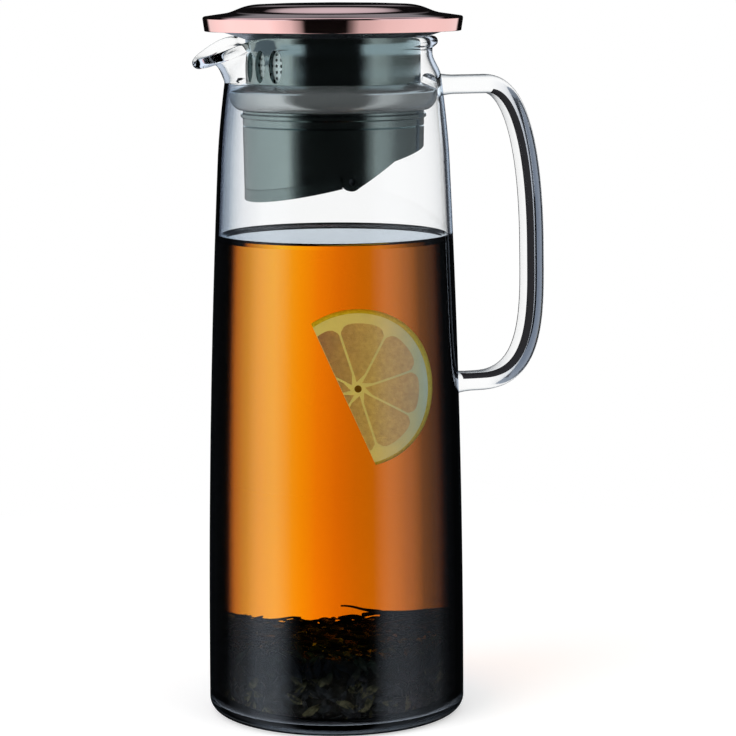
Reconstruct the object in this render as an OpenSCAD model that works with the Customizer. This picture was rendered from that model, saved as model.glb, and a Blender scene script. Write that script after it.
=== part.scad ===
// Iced tea maker: a blown glass jug with a fused strap handle and a pulled spout, closed by a
// plated cap on a slotted stopper. A gravity flap at the foot of the stopper opens on pouring.
// Millimetres. +Z is up, the spout points to -X and the handle to +X.
// The origin is the centre of the face that the jug stands on.

/* [Glass jug] */
// Outer radius of the jug just above its foot
jug_r = 48.6; // [40:0.1:60]
// Height of the glass from the table to the top of the rim
jug_h = 255.5; // [235:0.5:300]
// Thickness of the blown wall
glass_wall = 1.9; // [1.5:0.1:2.3]
// Thickness of the glass floor
floor_t = 3.8; // [2.5:0.1:6]
// Outer rounding where the wall turns under into the foot
foot_round = 5; // [3:0.5:8]
// Width of the flat ring that the jug stands on
foot_ring_w = 3; // [2:0.5:6]
// Height of the push-up under the floor
push_up = 1.2; // [0.5:0.1:2]
// Outer radius of the throat, the groove just below the rim
throat_r = 37; // [36.6:0.1:38.5]
// Depth of the throat below the top of the rim
throat_drop = 6.9; // [6:0.1:9]
// Radius of the rolled bead round the rim
rim_bead_r = 1.9; // [1.5:0.1:2.2]
// Length of the shoulder that narrows to the throat
shoulder_l = 36.6; // [25:0.2:60]
// How far the shoulder draws in before its last round turn
shoulder_in = 2.1; // [0.5:0.1:4]
// How far the last round turn draws in
turn_in = 2.1; // [0.5:0.1:4]

/* [Spout] */
// How far the lip is pulled out past the rim
spout_pull = 16.5; // [10:0.5:20]
// How far the lip is pulled down below the rim
spout_drop = 6.5; // [4:0.2:8]
// Half of the angle of rim that is pulled out
spout_half = 40; // [30:1:45]
// Half of the angle of rim that dips
spout_dip_half = 30; // [20:1:30]

/* [Handle] */
// Width of the glass strap
strap_w = 14; // [10:0.5:20]
// Thickness of the glass strap
strap_t = 7.2; // [5:0.2:9]
// Distance from the jug's axis to the middle of the grip
grip_x = 81; // [74:0.5:95]
// Height of the upper arm below the rim
upper_arm_drop = 18.7; // [17:0.1:30]
// Height of the lower arm above the table
lower_arm_z = 123; // [90:1:140]
// How much the strap swells where it is fused to the wall
pad_swell = 0.35; // [0:0.05:0.6]

/* [Cap] */
// Radius of the cap's upper edge
cap_r = 48.5; // [45:0.5:54]
// How much the band draws in towards its lower edge
cap_draft = 0.8; // [0:0.1:2]
// Height of the cap's band
cap_band_h = 5.4; // [3.5:0.1:9]
// Height of the cap's lower edge above the rim
cap_above_rim = 2; // [1.5:0.1:4]
// Thickness of the cap's metal
cap_sheet = 0.8; // [0.5:0.1:1.2]
// Rounding of the band's upper edge
cap_edge_round = 1; // [0.5:0.1:1.5]
// Rise of the flat shoulder of the cap from its edge to the crown
cap_rise = 1.4; // [0.5:0.1:3]
// Radius at which the crown starts to rise
crown_foot_r = 38.6; // [36:0.2:42]
// Radius of the crown's upper edge
crown_r = 31.5; // [24:0.5:34]
// Height of the crown above the shoulder of the cap
crown_h = 2.9; // [1:0.1:5]
// Height of the crown's very flat dome
crown_dome = 0.8; // [0.2:0.1:2]
// How far the cone under the cap reaches out past the throat
cone_out = 4; // [3.5:0.1:7]
// Slope of the cone under the cap, in degrees
cone_slope = 18; // [10:1:25]

/* [Stopper] */
// Gap that tea runs through, between the slotted tube and the glass of the throat
pour_gap = 2.5; // [2.1:0.1:2.9]
// Wall of the slotted tube
tube_wall = 2.2; // [2:0.1:2.6]
// How far the spigot on the tube's lower end steps in
spigot_in = 1; // [0.8:0.1:1.3]
// Wall of the spigot
spigot_wall = 2; // [1.6:0.1:2.2]
// Number of pouring slots
slot_count = 5; // [3:1:7]
// Angle from one slot to the next
slot_step = 15; // [13:1:18]
// Width of a slot
slot_w = 6.3; // [4:0.1:6.6]
// Height of a slot
slot_h = 12.4; // [8:0.2:12.6]
// Wall of the strainer sleeve
sleeve_wall = 0.4; // [0.3:0.05:0.6]
// Diameter of a hole in the strainer sleeve
strainer_hole = 1.2; // [0.8:0.1:1.4]
// Distance from one strainer hole to the next
strainer_pitch = 2.2; // [2:0.1:3]

/* [Seal] */
// Depth of the seal's upper face below the rim
seal_top_drop = 17.1; // [16.9:0.1:18]
// Height of the seal
seal_h = 10.2; // [8:0.1:12]
// Height of the seal's upper face at its outer edge, below its inner edge
seal_fall = 1; // [0.5:0.1:2]
// Gap from the seal to the glass
seal_gap = 0.25; // [0.1:0.05:0.4]

/* [Valve cup] */
// How far the cup stands out past the tube
cup_out = 1.2; // [0.9:0.1:1.4]
// How much the cup draws in down to its lower edge
cup_draft = 0.4; // [0:0.1:0.5]
// How far the bead round the cup's mouth stands out past the cup
cup_bead_out = 0.8; // [0.4:0.1:0.9]
// Height of that bead
cup_bead_h = 2.2; // [1.5:0.1:3]
// Depth of the middle of the slanted edge below the rim
slant_drop = 47.9; // [44:0.1:54]
// Slope of the slanted edge, in degrees
slant = 13.5; // [8:0.5:16]
// Length of the tube's spigot inside the cup
socket_l = 6.2; // [4:0.1:9]
// Width of the ledge that the flap rests on
ledge_w = 3.2; // [2.6:0.1:4]
// Thickness of that ledge
ledge_t = 1.4; // [1:0.1:2]

/* [Pour flap] */
// Distance of the hinge from the axis, on the spout's side
hinge_x = 5; // [3:0.5:7]
// Depth of the hinge below the slanted edge
hinge_drop = 2.8; // [2.6:0.1:3.4]
// Radius of the hinge pin
pin_r = 1.2; // [0.8:0.1:1.5]
// Radius of the hinge barrel on the flap
barrel_r = 2.6; // [2.3:0.1:2.7]
// Radius of the lugs on the cup that hold the pin
lug_r = 3.4; // [2.8:0.1:3.6]
// Depth of the flap's dish on the spout's side
dish_h = 4.2; // [3:0.1:5]
// Floor and rim of that dish
dish_wall = 1.5; // [1:0.1:2]
// Thickness of the plate on the handle's side
plate_t = 1.8; // [1.2:0.1:2.4]
// Gap from the edge of that plate to the wall of the cup
plate_gap = 1.85; // [1.65:0.05:2.45]
// Thickness of the steel weight on the plate
weight_t = 2.2; // [1:0.1:3]
// How far the steel weight's edge is set in from the plate's edge
weight_inset = 5.8; // [4.8:0.1:9.8]
// Radius of the posts that hold the weight
post_r = 1.5; // [1:0.1:2]

/* [Clearances] */
// Gap between the cone under the cap and the rim
rim_gap = 0.3; // [0.3:0.05:0.6]
// Gap between parts of the stopper that are pushed together
push_fit = 0.05; // [0.03:0.01:0.1]
// Radial gap of the flap's barrel on its pin
pin_gap = 0.06; // [0.03:0.01:0.1]
// Gap between the flap and the faces that it closes on
flap_gap = 0.15; // [0.1:0.01:0.3]

/* [Hidden] */
round_fn = 96;
small_fn = 32;
// A cut runs this far past the face that it leaves
past = 1;

// Glass levels and the outer radius of the jug at a height
throat_z = jug_h - throat_drop;
shoulder_z = throat_z - shoulder_l;
turn_l = 8.1;
turn_z = throat_z - turn_l;
barrel_in = jug_r - throat_r - shoulder_in - turn_in;
bead_centre_r = throat_r - glass_wall + rim_bead_r + 0.1;
bead_centre_z = jug_h - rim_bead_r;
// The neck is pulled from the level of the seal's upper face
neck_from_z = jug_h - seal_top_drop;

function share(z, low, high) = min(1, max(0, (z - low) / (high - low)));
function ease(t) = t * t * (3 - 2 * t);
function wall_r(z) = jug_r - barrel_in * pow(z / throat_z, 2)
    - shoulder_in * pow(share(z, shoulder_z, throat_z), 1.5)
    - turn_in * ease(share(z, turn_z, throat_z));
function steps(low, high, count) = [for (i = [0:count]) low + (high - low) * i / count];
function arc(cx, cz, r, from, to, count) =
    [for (a = steps(from, to, count)) [cx + r * cos(a), cz + r * sin(a)]];

// Radii of the stopper, all counted in from the throat
tube_r = throat_r - glass_wall - pour_gap;
spigot_r = tube_r - spigot_in;
cone_r = throat_r + cone_out;
cup_r = tube_r + cup_out;
cup_bead_r = cup_r + cup_bead_out;
plate_r = spigot_r + push_fit - plate_gap;
weight_r = plate_r - weight_inset;

// Levels of the stopper, all counted down from the rim
cone_rise = tan(cone_slope);
cone_mid_z = bead_centre_z + (rim_bead_r + rim_gap) / cos(cone_slope);
function cone_z(r) = cone_mid_z + (r - bead_centre_r) * cone_rise;
tube_top_z = cone_z(tube_r);
cap_low_z = jug_h + cap_above_rim;
cap_edge_z = cap_low_z + cap_band_h;
crown_z = cap_edge_z + cap_rise + crown_h;
core_low_z = cap_low_z + cap_sheet;
seal_top_z = jug_h - seal_top_drop;
seal_low_z = seal_top_z - seal_h;
seal_edge_round = 1.4;
seal_r = wall_r(seal_top_z - seal_fall - seal_edge_round) - glass_wall - seal_gap;
slot_mid_z = (seal_top_z + tube_top_z) / 2 - 1.3;
sleeve_top_z = slot_mid_z + slot_h / 2 + 0.8;
sleeve_r = tube_r - tube_wall - 2 * push_fit;
tube_low_z = seal_low_z - socket_l;
cup_bore = spigot_r + push_fit;
slant_z = jug_h - slant_drop;
cup_low_r = cup_r - cup_draft;
hinge_z = slant_z - hinge_x * tan(slant) - hinge_drop;

// Flap levels, square to the slanted edge and counted from it
hinge_v = hinge_drop * cos(slant);
hinge_u = -hinge_x / cos(slant) - hinge_drop * sin(slant);
dish_near = lug_r + 0.4;
plate_low = ledge_t + flap_gap;
weight_low = plate_low + plate_t;
weight_from = 6;
post_x = (weight_from + weight_r) / 2;
post_y = weight_r * 0.45;

// A solid body of revolution from its half-section
module turned(section) {
    rotate_extrude($fn = round_fn) polygon(section);
}

// A ring between two radii
module ring(outer, inner, low, high) {
    difference() {
        translate([0, 0, low]) cylinder(r = outer, h = high - low, $fn = round_fn);
        translate([0, 0, low - past]) cylinder(r = inner, h = high - low + 2 * past, $fn = round_fn);
    }
}

// Places children on the slanted edge: X runs up the slope, Z stands square to it
module on_slant() {
    translate([0, 0, slant_z]) rotate([0, -slant, 0]) children();
}

// A cylinder along Y about the hinge
module about_hinge(r, half_l) {
    translate([-hinge_x, half_l, hinge_z]) rotate([90, 0, 0]) cylinder(r = r, h = 2 * half_l, $fn = small_fn);
}

// Joins rings of points, each with as many points, into one closed skin
module loft(rings) {
    n = len(rings[0]);
    last = len(rings) - 1;
    sides = [for (i = [0:last - 1], j = [0:n - 1], half = [0, 1])
        let (a = i * n + j, b = i * n + (j + 1) % n)
        half == 0 ? [a, b, b + n] : [a, b + n, a + n]];
    caps = [[for (j = [n - 1:-1:0]) j], [for (j = [0:n - 1]) last * n + j]];
    polyhedron(points = [for (r = rings, p = r) p], faces = concat(sides, caps), convexity = 6);
}

// Joins rings of points all the way round, the last one to the first
module closed_loft(rings) {
    n = len(rings[0]);
    count = len(rings);
    faces = [for (i = [0:count - 1], j = [0:n - 1], half = [0, 1])
        let (next = (i + 1) % count, a = i * n + j, b = i * n + (j + 1) % n,
            c = next * n + (j + 1) % n, d = next * n + j)
        half == 0 ? [a, b, c] : [a, c, d]];
    polyhedron(points = [for (r = rings, p = r) p], faces = faces, convexity = 6);
}

// Half-section of the jug below the pulled neck, with its floor and foot
module jug_body() {
    foot_r = wall_r(foot_round) - foot_round;
    ring_in = foot_r - foot_ring_w;
    cove_r = foot_round + 1;
    levels = steps(shoulder_z, neck_from_z, 7);
    turned(concat(
        [[0, push_up], [ring_in - 2 * push_up, push_up], [ring_in, 0]],
        arc(foot_r, foot_round, foot_round, -90, 0, 6),
        [for (z = steps(foot_round, shoulder_z, 9)) if (z > foot_round && z < shoulder_z) [wall_r(z), z]],
        [for (z = levels) [wall_r(z), z]],
        [for (i = [len(levels) - 1:-1:0]) [wall_r(levels[i]) - glass_wall, levels[i]]],
        [for (z = steps(shoulder_z, floor_t + cove_r, 9)) if (z < shoulder_z && z > floor_t + cove_r)
            [wall_r(z) - glass_wall, z]],
        arc(wall_r(floor_t + cove_r) - glass_wall - cove_r, floor_t + cove_r, cove_r, 0, -90, 6),
        [[0, floor_t]]));
}

// How much of the pull and of the dip the rim takes at an angle from the spout
function bell(angle, half, power) = abs(angle) >= half ? 0 : pow(cos(90 * angle / half), power);

// Middle of the wall at a level of the neck, pulled out and down near the spout
function neck_mid(z, angle) =
    let (t = share(z, neck_from_z, bead_centre_z))
    [wall_r(min(z, throat_z)) - glass_wall / 2 + spout_pull * bell(angle, spout_half, 2.5) * pow(t, 1.3),
        z - spout_drop * bell(angle, spout_dip_half, 2) * pow(t, 3)];

// Closed section of the neck at an angle: up the outer face, round the rim bead, down the inner face
function neck_section(angle, inset) =
    let (
        levels = concat(steps(neck_from_z, throat_z, 5), [(throat_z + bead_centre_z) / 2]),
        fine = 0.05,
        half_t = glass_wall / 2 - inset,
        frame = [for (z = concat(levels, [bead_centre_z])) let (
            run = neck_mid(z, angle) - neck_mid(z - fine, angle),
            up = z == neck_from_z ? [0, 1] : run / norm(run))
            [neck_mid(z, angle), up, [up[1], -up[0]]]],
        last = len(levels),
        rim = frame[last],
        bead = rim[0] + (rim_bead_r + 0.1 - glass_wall / 2) * rim[2]
    )
    concat(
        [for (i = [0:last - 1]) frame[i][0] + half_t * frame[i][2]],
        [for (a = steps(-60, 165, 8)) bead + rim_bead_r * (cos(a) * rim[2] + sin(a) * rim[1])],
        [for (i = [last - 1:-1:0]) frame[i][0] - half_t * frame[i][2]]);

module glass_jug() {
    spout_steps = 32;
    neck_steps = 56;
    inset = 0.06;
    angles = concat(steps(-spout_half, spout_half, spout_steps),
        [for (a = steps(spout_half, 360 - spout_half, neck_steps)) if (a > spout_half && a < 360 - spout_half) a]);
    color([0.86, 0.93, 0.94, 0.35]) union() {
        jug_body();
        closed_loft([for (a = angles) [for (p = neck_section(a > 180 ? a - 360 : a, inset))
            [-p[0] * cos(a), -p[0] * sin(a), p[1]]]]);
    }
}

// Centre line of the handle: two cubic curves that meet upright at the grip
function bezier(a, b, c, d, t) =
    pow(1 - t, 3) * a + 3 * pow(1 - t, 2) * t * b + 3 * (1 - t) * t * t * c + pow(t, 3) * d;
upper_arm_z = jug_h - upper_arm_drop;
grip_z = lower_arm_z + 0.457 * (upper_arm_z - lower_arm_z);
weld = glass_wall / 2;

function handle_line() =
    let (
        top_x = wall_r(upper_arm_z) - weld,
        low_x = wall_r(lower_arm_z) - weld,
        elbow_x = grip_x - 21,
        heel_x = grip_x - 23
    )
    concat(
        [for (i = [0:4]) [top_x + (elbow_x - top_x) * i / 5, upper_arm_z]],
        [for (i = [0:13]) bezier([elbow_x, upper_arm_z], [grip_x - 7, upper_arm_z + 1.2],
            [grip_x - 0.5, grip_z + 0.6 * (upper_arm_z - grip_z)], [grip_x, grip_z], i / 14)],
        [for (i = [0:14]) bezier([grip_x, grip_z], [grip_x + 0.3, grip_z - 0.48 * (grip_z - lower_arm_z)],
            [grip_x + 2, lower_arm_z - 0.5], [heel_x, lower_arm_z], i / 14)],
        [for (i = [1:3]) [heel_x + (low_x - heel_x) * i / 3, lower_arm_z]]);

// A rounded strap section square to the line, swollen near both ends
module glass_handle() {
    line = handle_line();
    last = len(line) - 1;
    sides = 20;
    roundness = 2.6;
    pad_l = 9;
    rings = [for (i = [0:last])
        let (
            ahead = line[min(i + 1, last)] - line[max(i - 1, 0)],
            along = i == 0 || i == last ? [i == 0 ? 1 : -1, 0] : ahead / norm(ahead),
            end_gap = min(norm(line[i] - line[0]), norm(line[i] - line[last])),
            swell = 1 + pad_swell * pow(max(0, 1 - end_gap / pad_l), 2)
        )
        [for (s = [0:sides - 1])
            let (
                a = 360 * s / sides,
                across = swell * strap_w / 2 * sign(cos(a)) * pow(abs(cos(a)), 2 / roundness),
                out = swell * strap_t / 2 * sign(sin(a)) * pow(abs(sin(a)), 2 / roundness)
            )
            [line[i][0] - along[1] * out, across, line[i][1] + along[0] * out]]];
    color([0.84, 0.92, 0.93, 0.45]) loft(rings);
}

// The cap's outer line, from its lower edge over the crown to the axis
function cap_line(inset) = concat(
    [[cap_r - cap_draft - inset, cap_low_z]],
    arc(cap_r - cap_edge_round, cap_edge_z - cap_edge_round, cap_edge_round - min(inset, cap_edge_round - 0.1), 0, 90, 4),
    [[crown_foot_r, cap_edge_z + cap_rise - inset], [crown_r, crown_z - inset],
        [crown_r * 0.6, crown_z + crown_dome * 0.7 - inset], [0, crown_z + crown_dome - inset]]);

module cap_shell() {
    lip = 1.4;
    color([0.90, 0.62, 0.56]) difference() {
        turned(concat([[0, cap_low_z]], cap_line(0)));
        turned(concat([[0, core_low_z], [cap_r - cap_draft - cap_sheet, core_low_z]],
            [for (p = cap_line(cap_sheet)) if (p[1] > core_low_z) p]));
        translate([0, 0, cap_low_z - past])
            cylinder(r = cap_r - cap_draft - cap_sheet - lip, h = cap_sheet + 2 * past, $fn = round_fn);
    }
}

// Black moulding inside the cap: plate, cone over the rim, spigot into the tube and stiffening rings
module cap_core() {
    plate_h = 2;
    plate_top_z = core_low_z + push_fit + plate_h;
    spigot_out = tube_r - tube_wall - push_fit;
    web = 1.6;
    color([0.05, 0.05, 0.055]) union() {
        turned([[spigot_out - web, sleeve_top_z + push_fit], [spigot_out, sleeve_top_z + push_fit],
            [spigot_out, tube_top_z + push_fit], [tube_r, tube_top_z + push_fit],
            [cone_r, cone_z(cone_r)], [cone_r, core_low_z + push_fit],
            [cap_r - cap_draft - cap_sheet - push_fit, core_low_z + push_fit],
            [cap_r - cap_draft - cap_sheet - push_fit, plate_top_z],
            [0, plate_top_z], [0, plate_top_z - plate_h],
            [spigot_out - web, plate_top_z - plate_h]]);
        ring(crown_foot_r - 1, crown_foot_r - 1 - web, plate_top_z - past,
            cap_edge_z + cap_rise - cap_sheet - push_fit);
        ring(crown_r * 0.6, crown_r * 0.6 - web, plate_top_z - past, crown_z - cap_sheet - push_fit);
    }
}

// An upright oval slot through a wall, on the spout's side
module slot(angle) {
    depth = 3 * tube_wall;
    outline = [for (i = [0:35]) [slot_h / 2 * cos(10 * i), slot_w / 2 * sin(10 * i)]];
    rotate([0, 0, 180 + angle]) translate([tube_r - depth, 0, slot_mid_z]) rotate([0, 90, 0])
        linear_extrude(2 * depth) polygon(outline);
}

module stopper_tube() {
    tube_bore = tube_r - tube_wall;
    half_fan = (slot_count - 1) / 2;
    color([0.36, 0.44, 0.43]) difference() {
        turned([[spigot_r - spigot_wall, tube_low_z], [spigot_r, tube_low_z], [spigot_r, seal_top_z],
            [tube_r, seal_top_z], [tube_r, tube_top_z], [tube_bore, tube_top_z],
            [tube_bore, seal_top_z], [spigot_r - spigot_wall, seal_top_z]]);
        for (i = [0:slot_count - 1]) slot((i - half_fan) * slot_step);
    }
}

// Steel sleeve inside the tube, pierced behind the slots
module strainer_sleeve() {
    fan = (slot_count - 1) * slot_step + 12;
    columns = floor(fan / 360 * 2 * PI * sleeve_r / strainer_pitch);
    rows = floor((slot_h - 1) / strainer_pitch);
    low_z = slot_mid_z - (rows - 1) / 2 * strainer_pitch;
    column_step = fan / columns;
    color([0.70, 0.72, 0.73]) difference() {
        ring(sleeve_r, sleeve_r - sleeve_wall, seal_top_z + push_fit, sleeve_top_z);
        for (c = [0:columns], k = [0:rows - 1])
            rotate([0, 0, 180 + (c - columns / 2) * column_step])
                translate([sleeve_r - 2 * sleeve_wall, 0, low_z + k * strainer_pitch])
                    rotate([0, 90, 0]) cylinder(d = strainer_hole, h = 4 * sleeve_wall, $fn = 16);
    }
}

// Silicone lip: a nearly flat top, a round edge on the glass and a long curve back to the cup
module neck_seal() {
    bore = spigot_r + push_fit;
    top = seal_top_z - push_fit;
    low = seal_low_z + push_fit;
    edge_z = top - seal_fall;
    edge_round = seal_edge_round;
    foot_r = cup_r;
    color([0.62, 0.64, 0.64]) turned(concat(
        [[bore, low], [foot_r, low]],
        [for (t = [0.15:0.15:0.9]) [foot_r + (seal_r - foot_r) * sin(90 * t),
            low + (edge_z - 2 * edge_round - low) * (1 - cos(90 * t))]],
        arc(seal_r - edge_round, edge_z - edge_round, edge_round, -10, 80, 5),
        [[bore, top]]));
}

// Wall of the cup with a bead at its mouth, down to a level
module cup_wall(low_z) {
    bead_mid = seal_low_z - 0.7 - cup_bead_h / 2;
    groove_z = bead_mid - cup_bead_h - 1.6;
    groove = 0.3;
    turned([[cup_bore, low_z], [cup_low_r, low_z], [cup_r, groove_z - groove],
        [cup_r - groove, groove_z], [cup_r, groove_z + groove],
        [cup_r, bead_mid - cup_bead_h / 2], [cup_bead_r, bead_mid - cup_bead_h / 4],
        [cup_bead_r, bead_mid + cup_bead_h / 4], [cup_r, bead_mid + cup_bead_h / 2],
        [cup_r, seal_low_z], [cup_bore, seal_low_z]]);
}

// Lower cup, cut off on a slant, with a faired lug for each end of the pin and a ledge for the flap
module valve_cup() {
    low_z = hinge_z - lug_r - past;
    fair_x = 12;
    ledge_from = 1;
    wide = 2 * jug_r;
    color([0.34, 0.42, 0.41]) difference() {
        union() {
            intersection() {
                cup_wall(low_z);
                on_slant() translate([-wide / 2, -wide / 2, 0]) cube([wide, wide, wide]);
            }
            intersection() {
                cup_wall(low_z);
                about_hinge(lug_r, wide / 2);
            }
            intersection() {
                cup_wall(low_z);
                translate([0, wide / 2, 0]) rotate([90, 0, 0]) linear_extrude(wide)
                    polygon([[-hinge_x - lug_r * cos(10), hinge_z], [-hinge_x - lug_r * cos(10), slant_z + past],
                        [fair_x, slant_z + fair_x * tan(slant) + past], [fair_x, slant_z + fair_x * tan(slant) - 0.1],
                        [-hinge_x + lug_r * cos(50) - 0.1, hinge_z - lug_r * sin(50)]]);
            }
            intersection() {
                ring(cup_bore + past / 2, cup_bore - ledge_w, low_z, seal_low_z);
                on_slant() translate([ledge_from, -wide / 2, 0]) cube([wide, wide, ledge_t]);
            }
        }
        about_hinge(pin_r + push_fit / 2, wide / 2);
    }
}

// Rocking flap: an open dish that closes on the cup's edge and a weighted plate that lies on the ledge
module pour_flap() {
    wide = 2 * jug_r;
    dish_r = cup_low_r;
    barrel_half = sqrt(pow(cup_bore, 2) - pow(hinge_x + barrel_r, 2)) - 0.9;
    plate_from = hinge_u + 3.8;
    dish_to = hinge_u - dish_near;
    web_half = plate_r * 0.84;
    head_h = 0.8;
    color([0.10, 0.12, 0.12]) difference() {
        union() {
            // Dish on the spout's side
            intersection() {
                difference() {
                    cylinder_upright(dish_r);
                    intersection() {
                        cylinder_upright(dish_r - dish_wall);
                        on_slant() translate([-wide, -wide / 2, dish_wall - dish_h - flap_gap])
                            cube([wide + dish_to - dish_wall, wide, wide]);
                    }
                }
                on_slant() translate([-wide, -wide / 2, -dish_h - flap_gap])
                    cube([wide + dish_to, wide, dish_h]);
            }
            // Plate on the handle's side
            intersection() {
                cylinder_upright(plate_r);
                on_slant() translate([plate_from, -wide / 2, plate_low]) cube([wide, wide, plate_t]);
            }
            // Webs that join the dish, the barrel and the plate
            on_slant() translate([dish_to - dish_wall, -web_half, -hinge_v - dish_wall / 2])
                cube([hinge_u - dish_to + dish_wall, 2 * web_half, dish_wall]);
            on_slant() translate([hinge_u - dish_wall / 2, -web_half, -hinge_v])
                cube([dish_wall, 2 * web_half, hinge_v + plate_low + plate_t]);
            on_slant() translate([hinge_u - dish_wall / 2, -web_half, plate_low])
                cube([plate_from - hinge_u + dish_wall, 2 * web_half, plate_t]);
            about_hinge(barrel_r, barrel_half);
            // Posts with heads that hold the weight
            for (side = [-1, 1]) on_slant() translate([post_x, side * post_y, 0]) {
                translate([0, 0, plate_low]) cylinder(r = post_r, h = plate_t + weight_t + head_h, $fn = small_fn);
                translate([0, 0, weight_low + weight_t + push_fit])
                    cylinder(r = post_r + 1, h = head_h, $fn = small_fn);
            }
        }
        about_hinge(pin_r + pin_gap, wide / 2);
    }
}

// Tall cylinder about the jug's axis, used to trim the flap to a round outline
module cylinder_upright(r) {
    translate([0, 0, hinge_z - jug_r]) cylinder(r = r, h = 2 * jug_r, $fn = round_fn);
}

// Steel half-moon that keeps the handle's side of the flap down
module flap_weight() {
    wide = 2 * jug_r;
    color([0.72, 0.73, 0.74]) difference() {
        intersection() {
            cylinder_upright(weight_r);
            on_slant() translate([weight_from, -wide / 2, weight_low + push_fit / 2])
                cube([wide, wide, weight_t]);
        }
        for (side = [-1, 1]) on_slant() translate([post_x, side * post_y, weight_low - past])
            cylinder(r = post_r + push_fit, h = weight_t + 2 * past, $fn = small_fn);
    }
}

module flap_pin() {
    half_l = sqrt(pow(cup_low_r, 2) - pow(hinge_x + lug_r, 2)) - 0.3;
    color([0.75, 0.76, 0.77]) about_hinge(pin_r, half_l);
}

glass_jug();
glass_handle();
cap_shell();
cap_core();
stopper_tube();
strainer_sleeve();
neck_seal();
valve_cup();
pour_flap();
flap_weight();
flap_pin();
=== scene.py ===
"""Iced tea maker in a plain studio.

A blown glass jug with a fused strap handle and a pulled spout stands on a pale floor, filled with
tea, a slice of lemon and a bed of leaves. A plated cap sits on a smoked, slotted stopper with a
silicone seal and a slanted valve cup, closed by a rocking flap. Lengths in the classes are
millimetres, as in the part's source, and become metres when a mesh is made.
"""

import logging
import math
from dataclasses import dataclass, field
from enum import Enum
from typing import Iterable, Optional, Sequence

import bmesh
import bpy
import numpy as np
from mathutils import Matrix, Vector, noise


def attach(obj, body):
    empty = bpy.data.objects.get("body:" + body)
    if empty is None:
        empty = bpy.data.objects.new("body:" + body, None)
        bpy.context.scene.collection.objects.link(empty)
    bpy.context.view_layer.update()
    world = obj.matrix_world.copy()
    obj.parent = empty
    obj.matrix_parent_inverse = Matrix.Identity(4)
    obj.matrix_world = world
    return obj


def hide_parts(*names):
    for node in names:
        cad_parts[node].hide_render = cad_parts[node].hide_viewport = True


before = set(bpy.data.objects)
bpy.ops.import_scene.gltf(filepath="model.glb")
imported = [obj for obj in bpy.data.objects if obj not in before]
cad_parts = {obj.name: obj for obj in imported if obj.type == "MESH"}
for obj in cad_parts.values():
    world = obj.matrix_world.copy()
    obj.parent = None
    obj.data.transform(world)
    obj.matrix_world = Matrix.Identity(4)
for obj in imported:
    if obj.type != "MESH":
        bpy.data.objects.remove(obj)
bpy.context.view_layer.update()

MM = 0.001
CAMERA_AZIMUTH = -20.0
TEA_Z = 181.0
MENISCUS = 1.2
CAD_WELD = 2e-6
FLAT_ANGLE = math.radians(0.5)
LOG = logging.getLogger("iced_tea_maker")

Colour = tuple[float, float, float]
Point2 = tuple[float, float]


class Body(Enum):
    """The moving bodies of the tea maker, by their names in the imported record."""

    JUG = "jug"
    SEAL = "seal"
    STOPPER = "stopper"
    FLAP = "flap"


def share(value: float, low: float, high: float) -> float:
    """How far a value lies between two others, from 0 to 1."""
    return min(1.0, max(0.0, (value - low) / (high - low)))


def ease(t: float) -> float:
    """A share that starts and ends softly."""
    return t * t * (3.0 - 2.0 * t)


def spread(low: float, high: float, count: int) -> list[float]:
    """Evenly spaced values from low to high, both included."""
    return [low + (high - low) * i / count for i in range(count + 1)]


def arc(cx: float, cz: float, radius: float, start: float, end: float, count: int) -> list[Point2]:
    """Points of a circular arc in the plane of a section, angles in degrees."""
    return [(cx + radius * math.cos(math.radians(a)), cz + radius * math.sin(math.radians(a)))
            for a in spread(start, end, count)]


def camera_axes() -> tuple[np.ndarray, np.ndarray, np.ndarray]:
    """Directions to the right of the camera, away from it and up."""
    a = math.radians(CAMERA_AZIMUTH)
    return (np.array([math.cos(a), math.sin(a), 0.0]), np.array([-math.sin(a), math.cos(a), 0.0]),
            np.array([0.0, 0.0, 1.0]))


def rounded(corners: Sequence[tuple[float, float, float]], count: int = 5) -> list[Point2]:
    """Rounds the corners of an open line.

    Args:
        corners: radius, height and corner rounding of each corner, in order.
        count: how many steps each rounded corner takes.

    Returns:
        The line's points, with an arc in place of each corner that has a rounding.
    """
    line: list[Point2] = [corners[0][:2]]
    for before, here, after in zip(corners, corners[1:], corners[2:]):
        p = np.array(here[:2])
        a, b = np.array(before[:2]) - p, np.array(after[:2]) - p
        la, lb = float(np.linalg.norm(a)), float(np.linalg.norm(b))
        half = math.acos(max(-1.0, min(1.0, float(a @ b) / max(la * lb, 1e-12)))) / 2
        if here[2] <= 0 or min(la, lb) < 1e-6 or half > math.radians(89.5):
            line.append((float(p[0]), float(p[1])))
            continue
        a, b = a / la, b / lb
        reach = min(here[2] / math.tan(half), 0.49 * la, 0.49 * lb)
        start, end = p + a * reach, p + b * reach
        for t in spread(0.0, 1.0, count):
            q = (1 - t) ** 2 * start + 2 * t * (1 - t) * p + t * t * end
            line.append((float(q[0]), float(q[1])))
    line.append(corners[-1][:2])
    return line


def new_object(name: str, data: object) -> bpy.types.Object:
    """Makes an object for its data and links it to the scene."""
    made = bpy.data.objects.new(name, data)
    bpy.context.scene.collection.objects.link(made)
    return made


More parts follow.
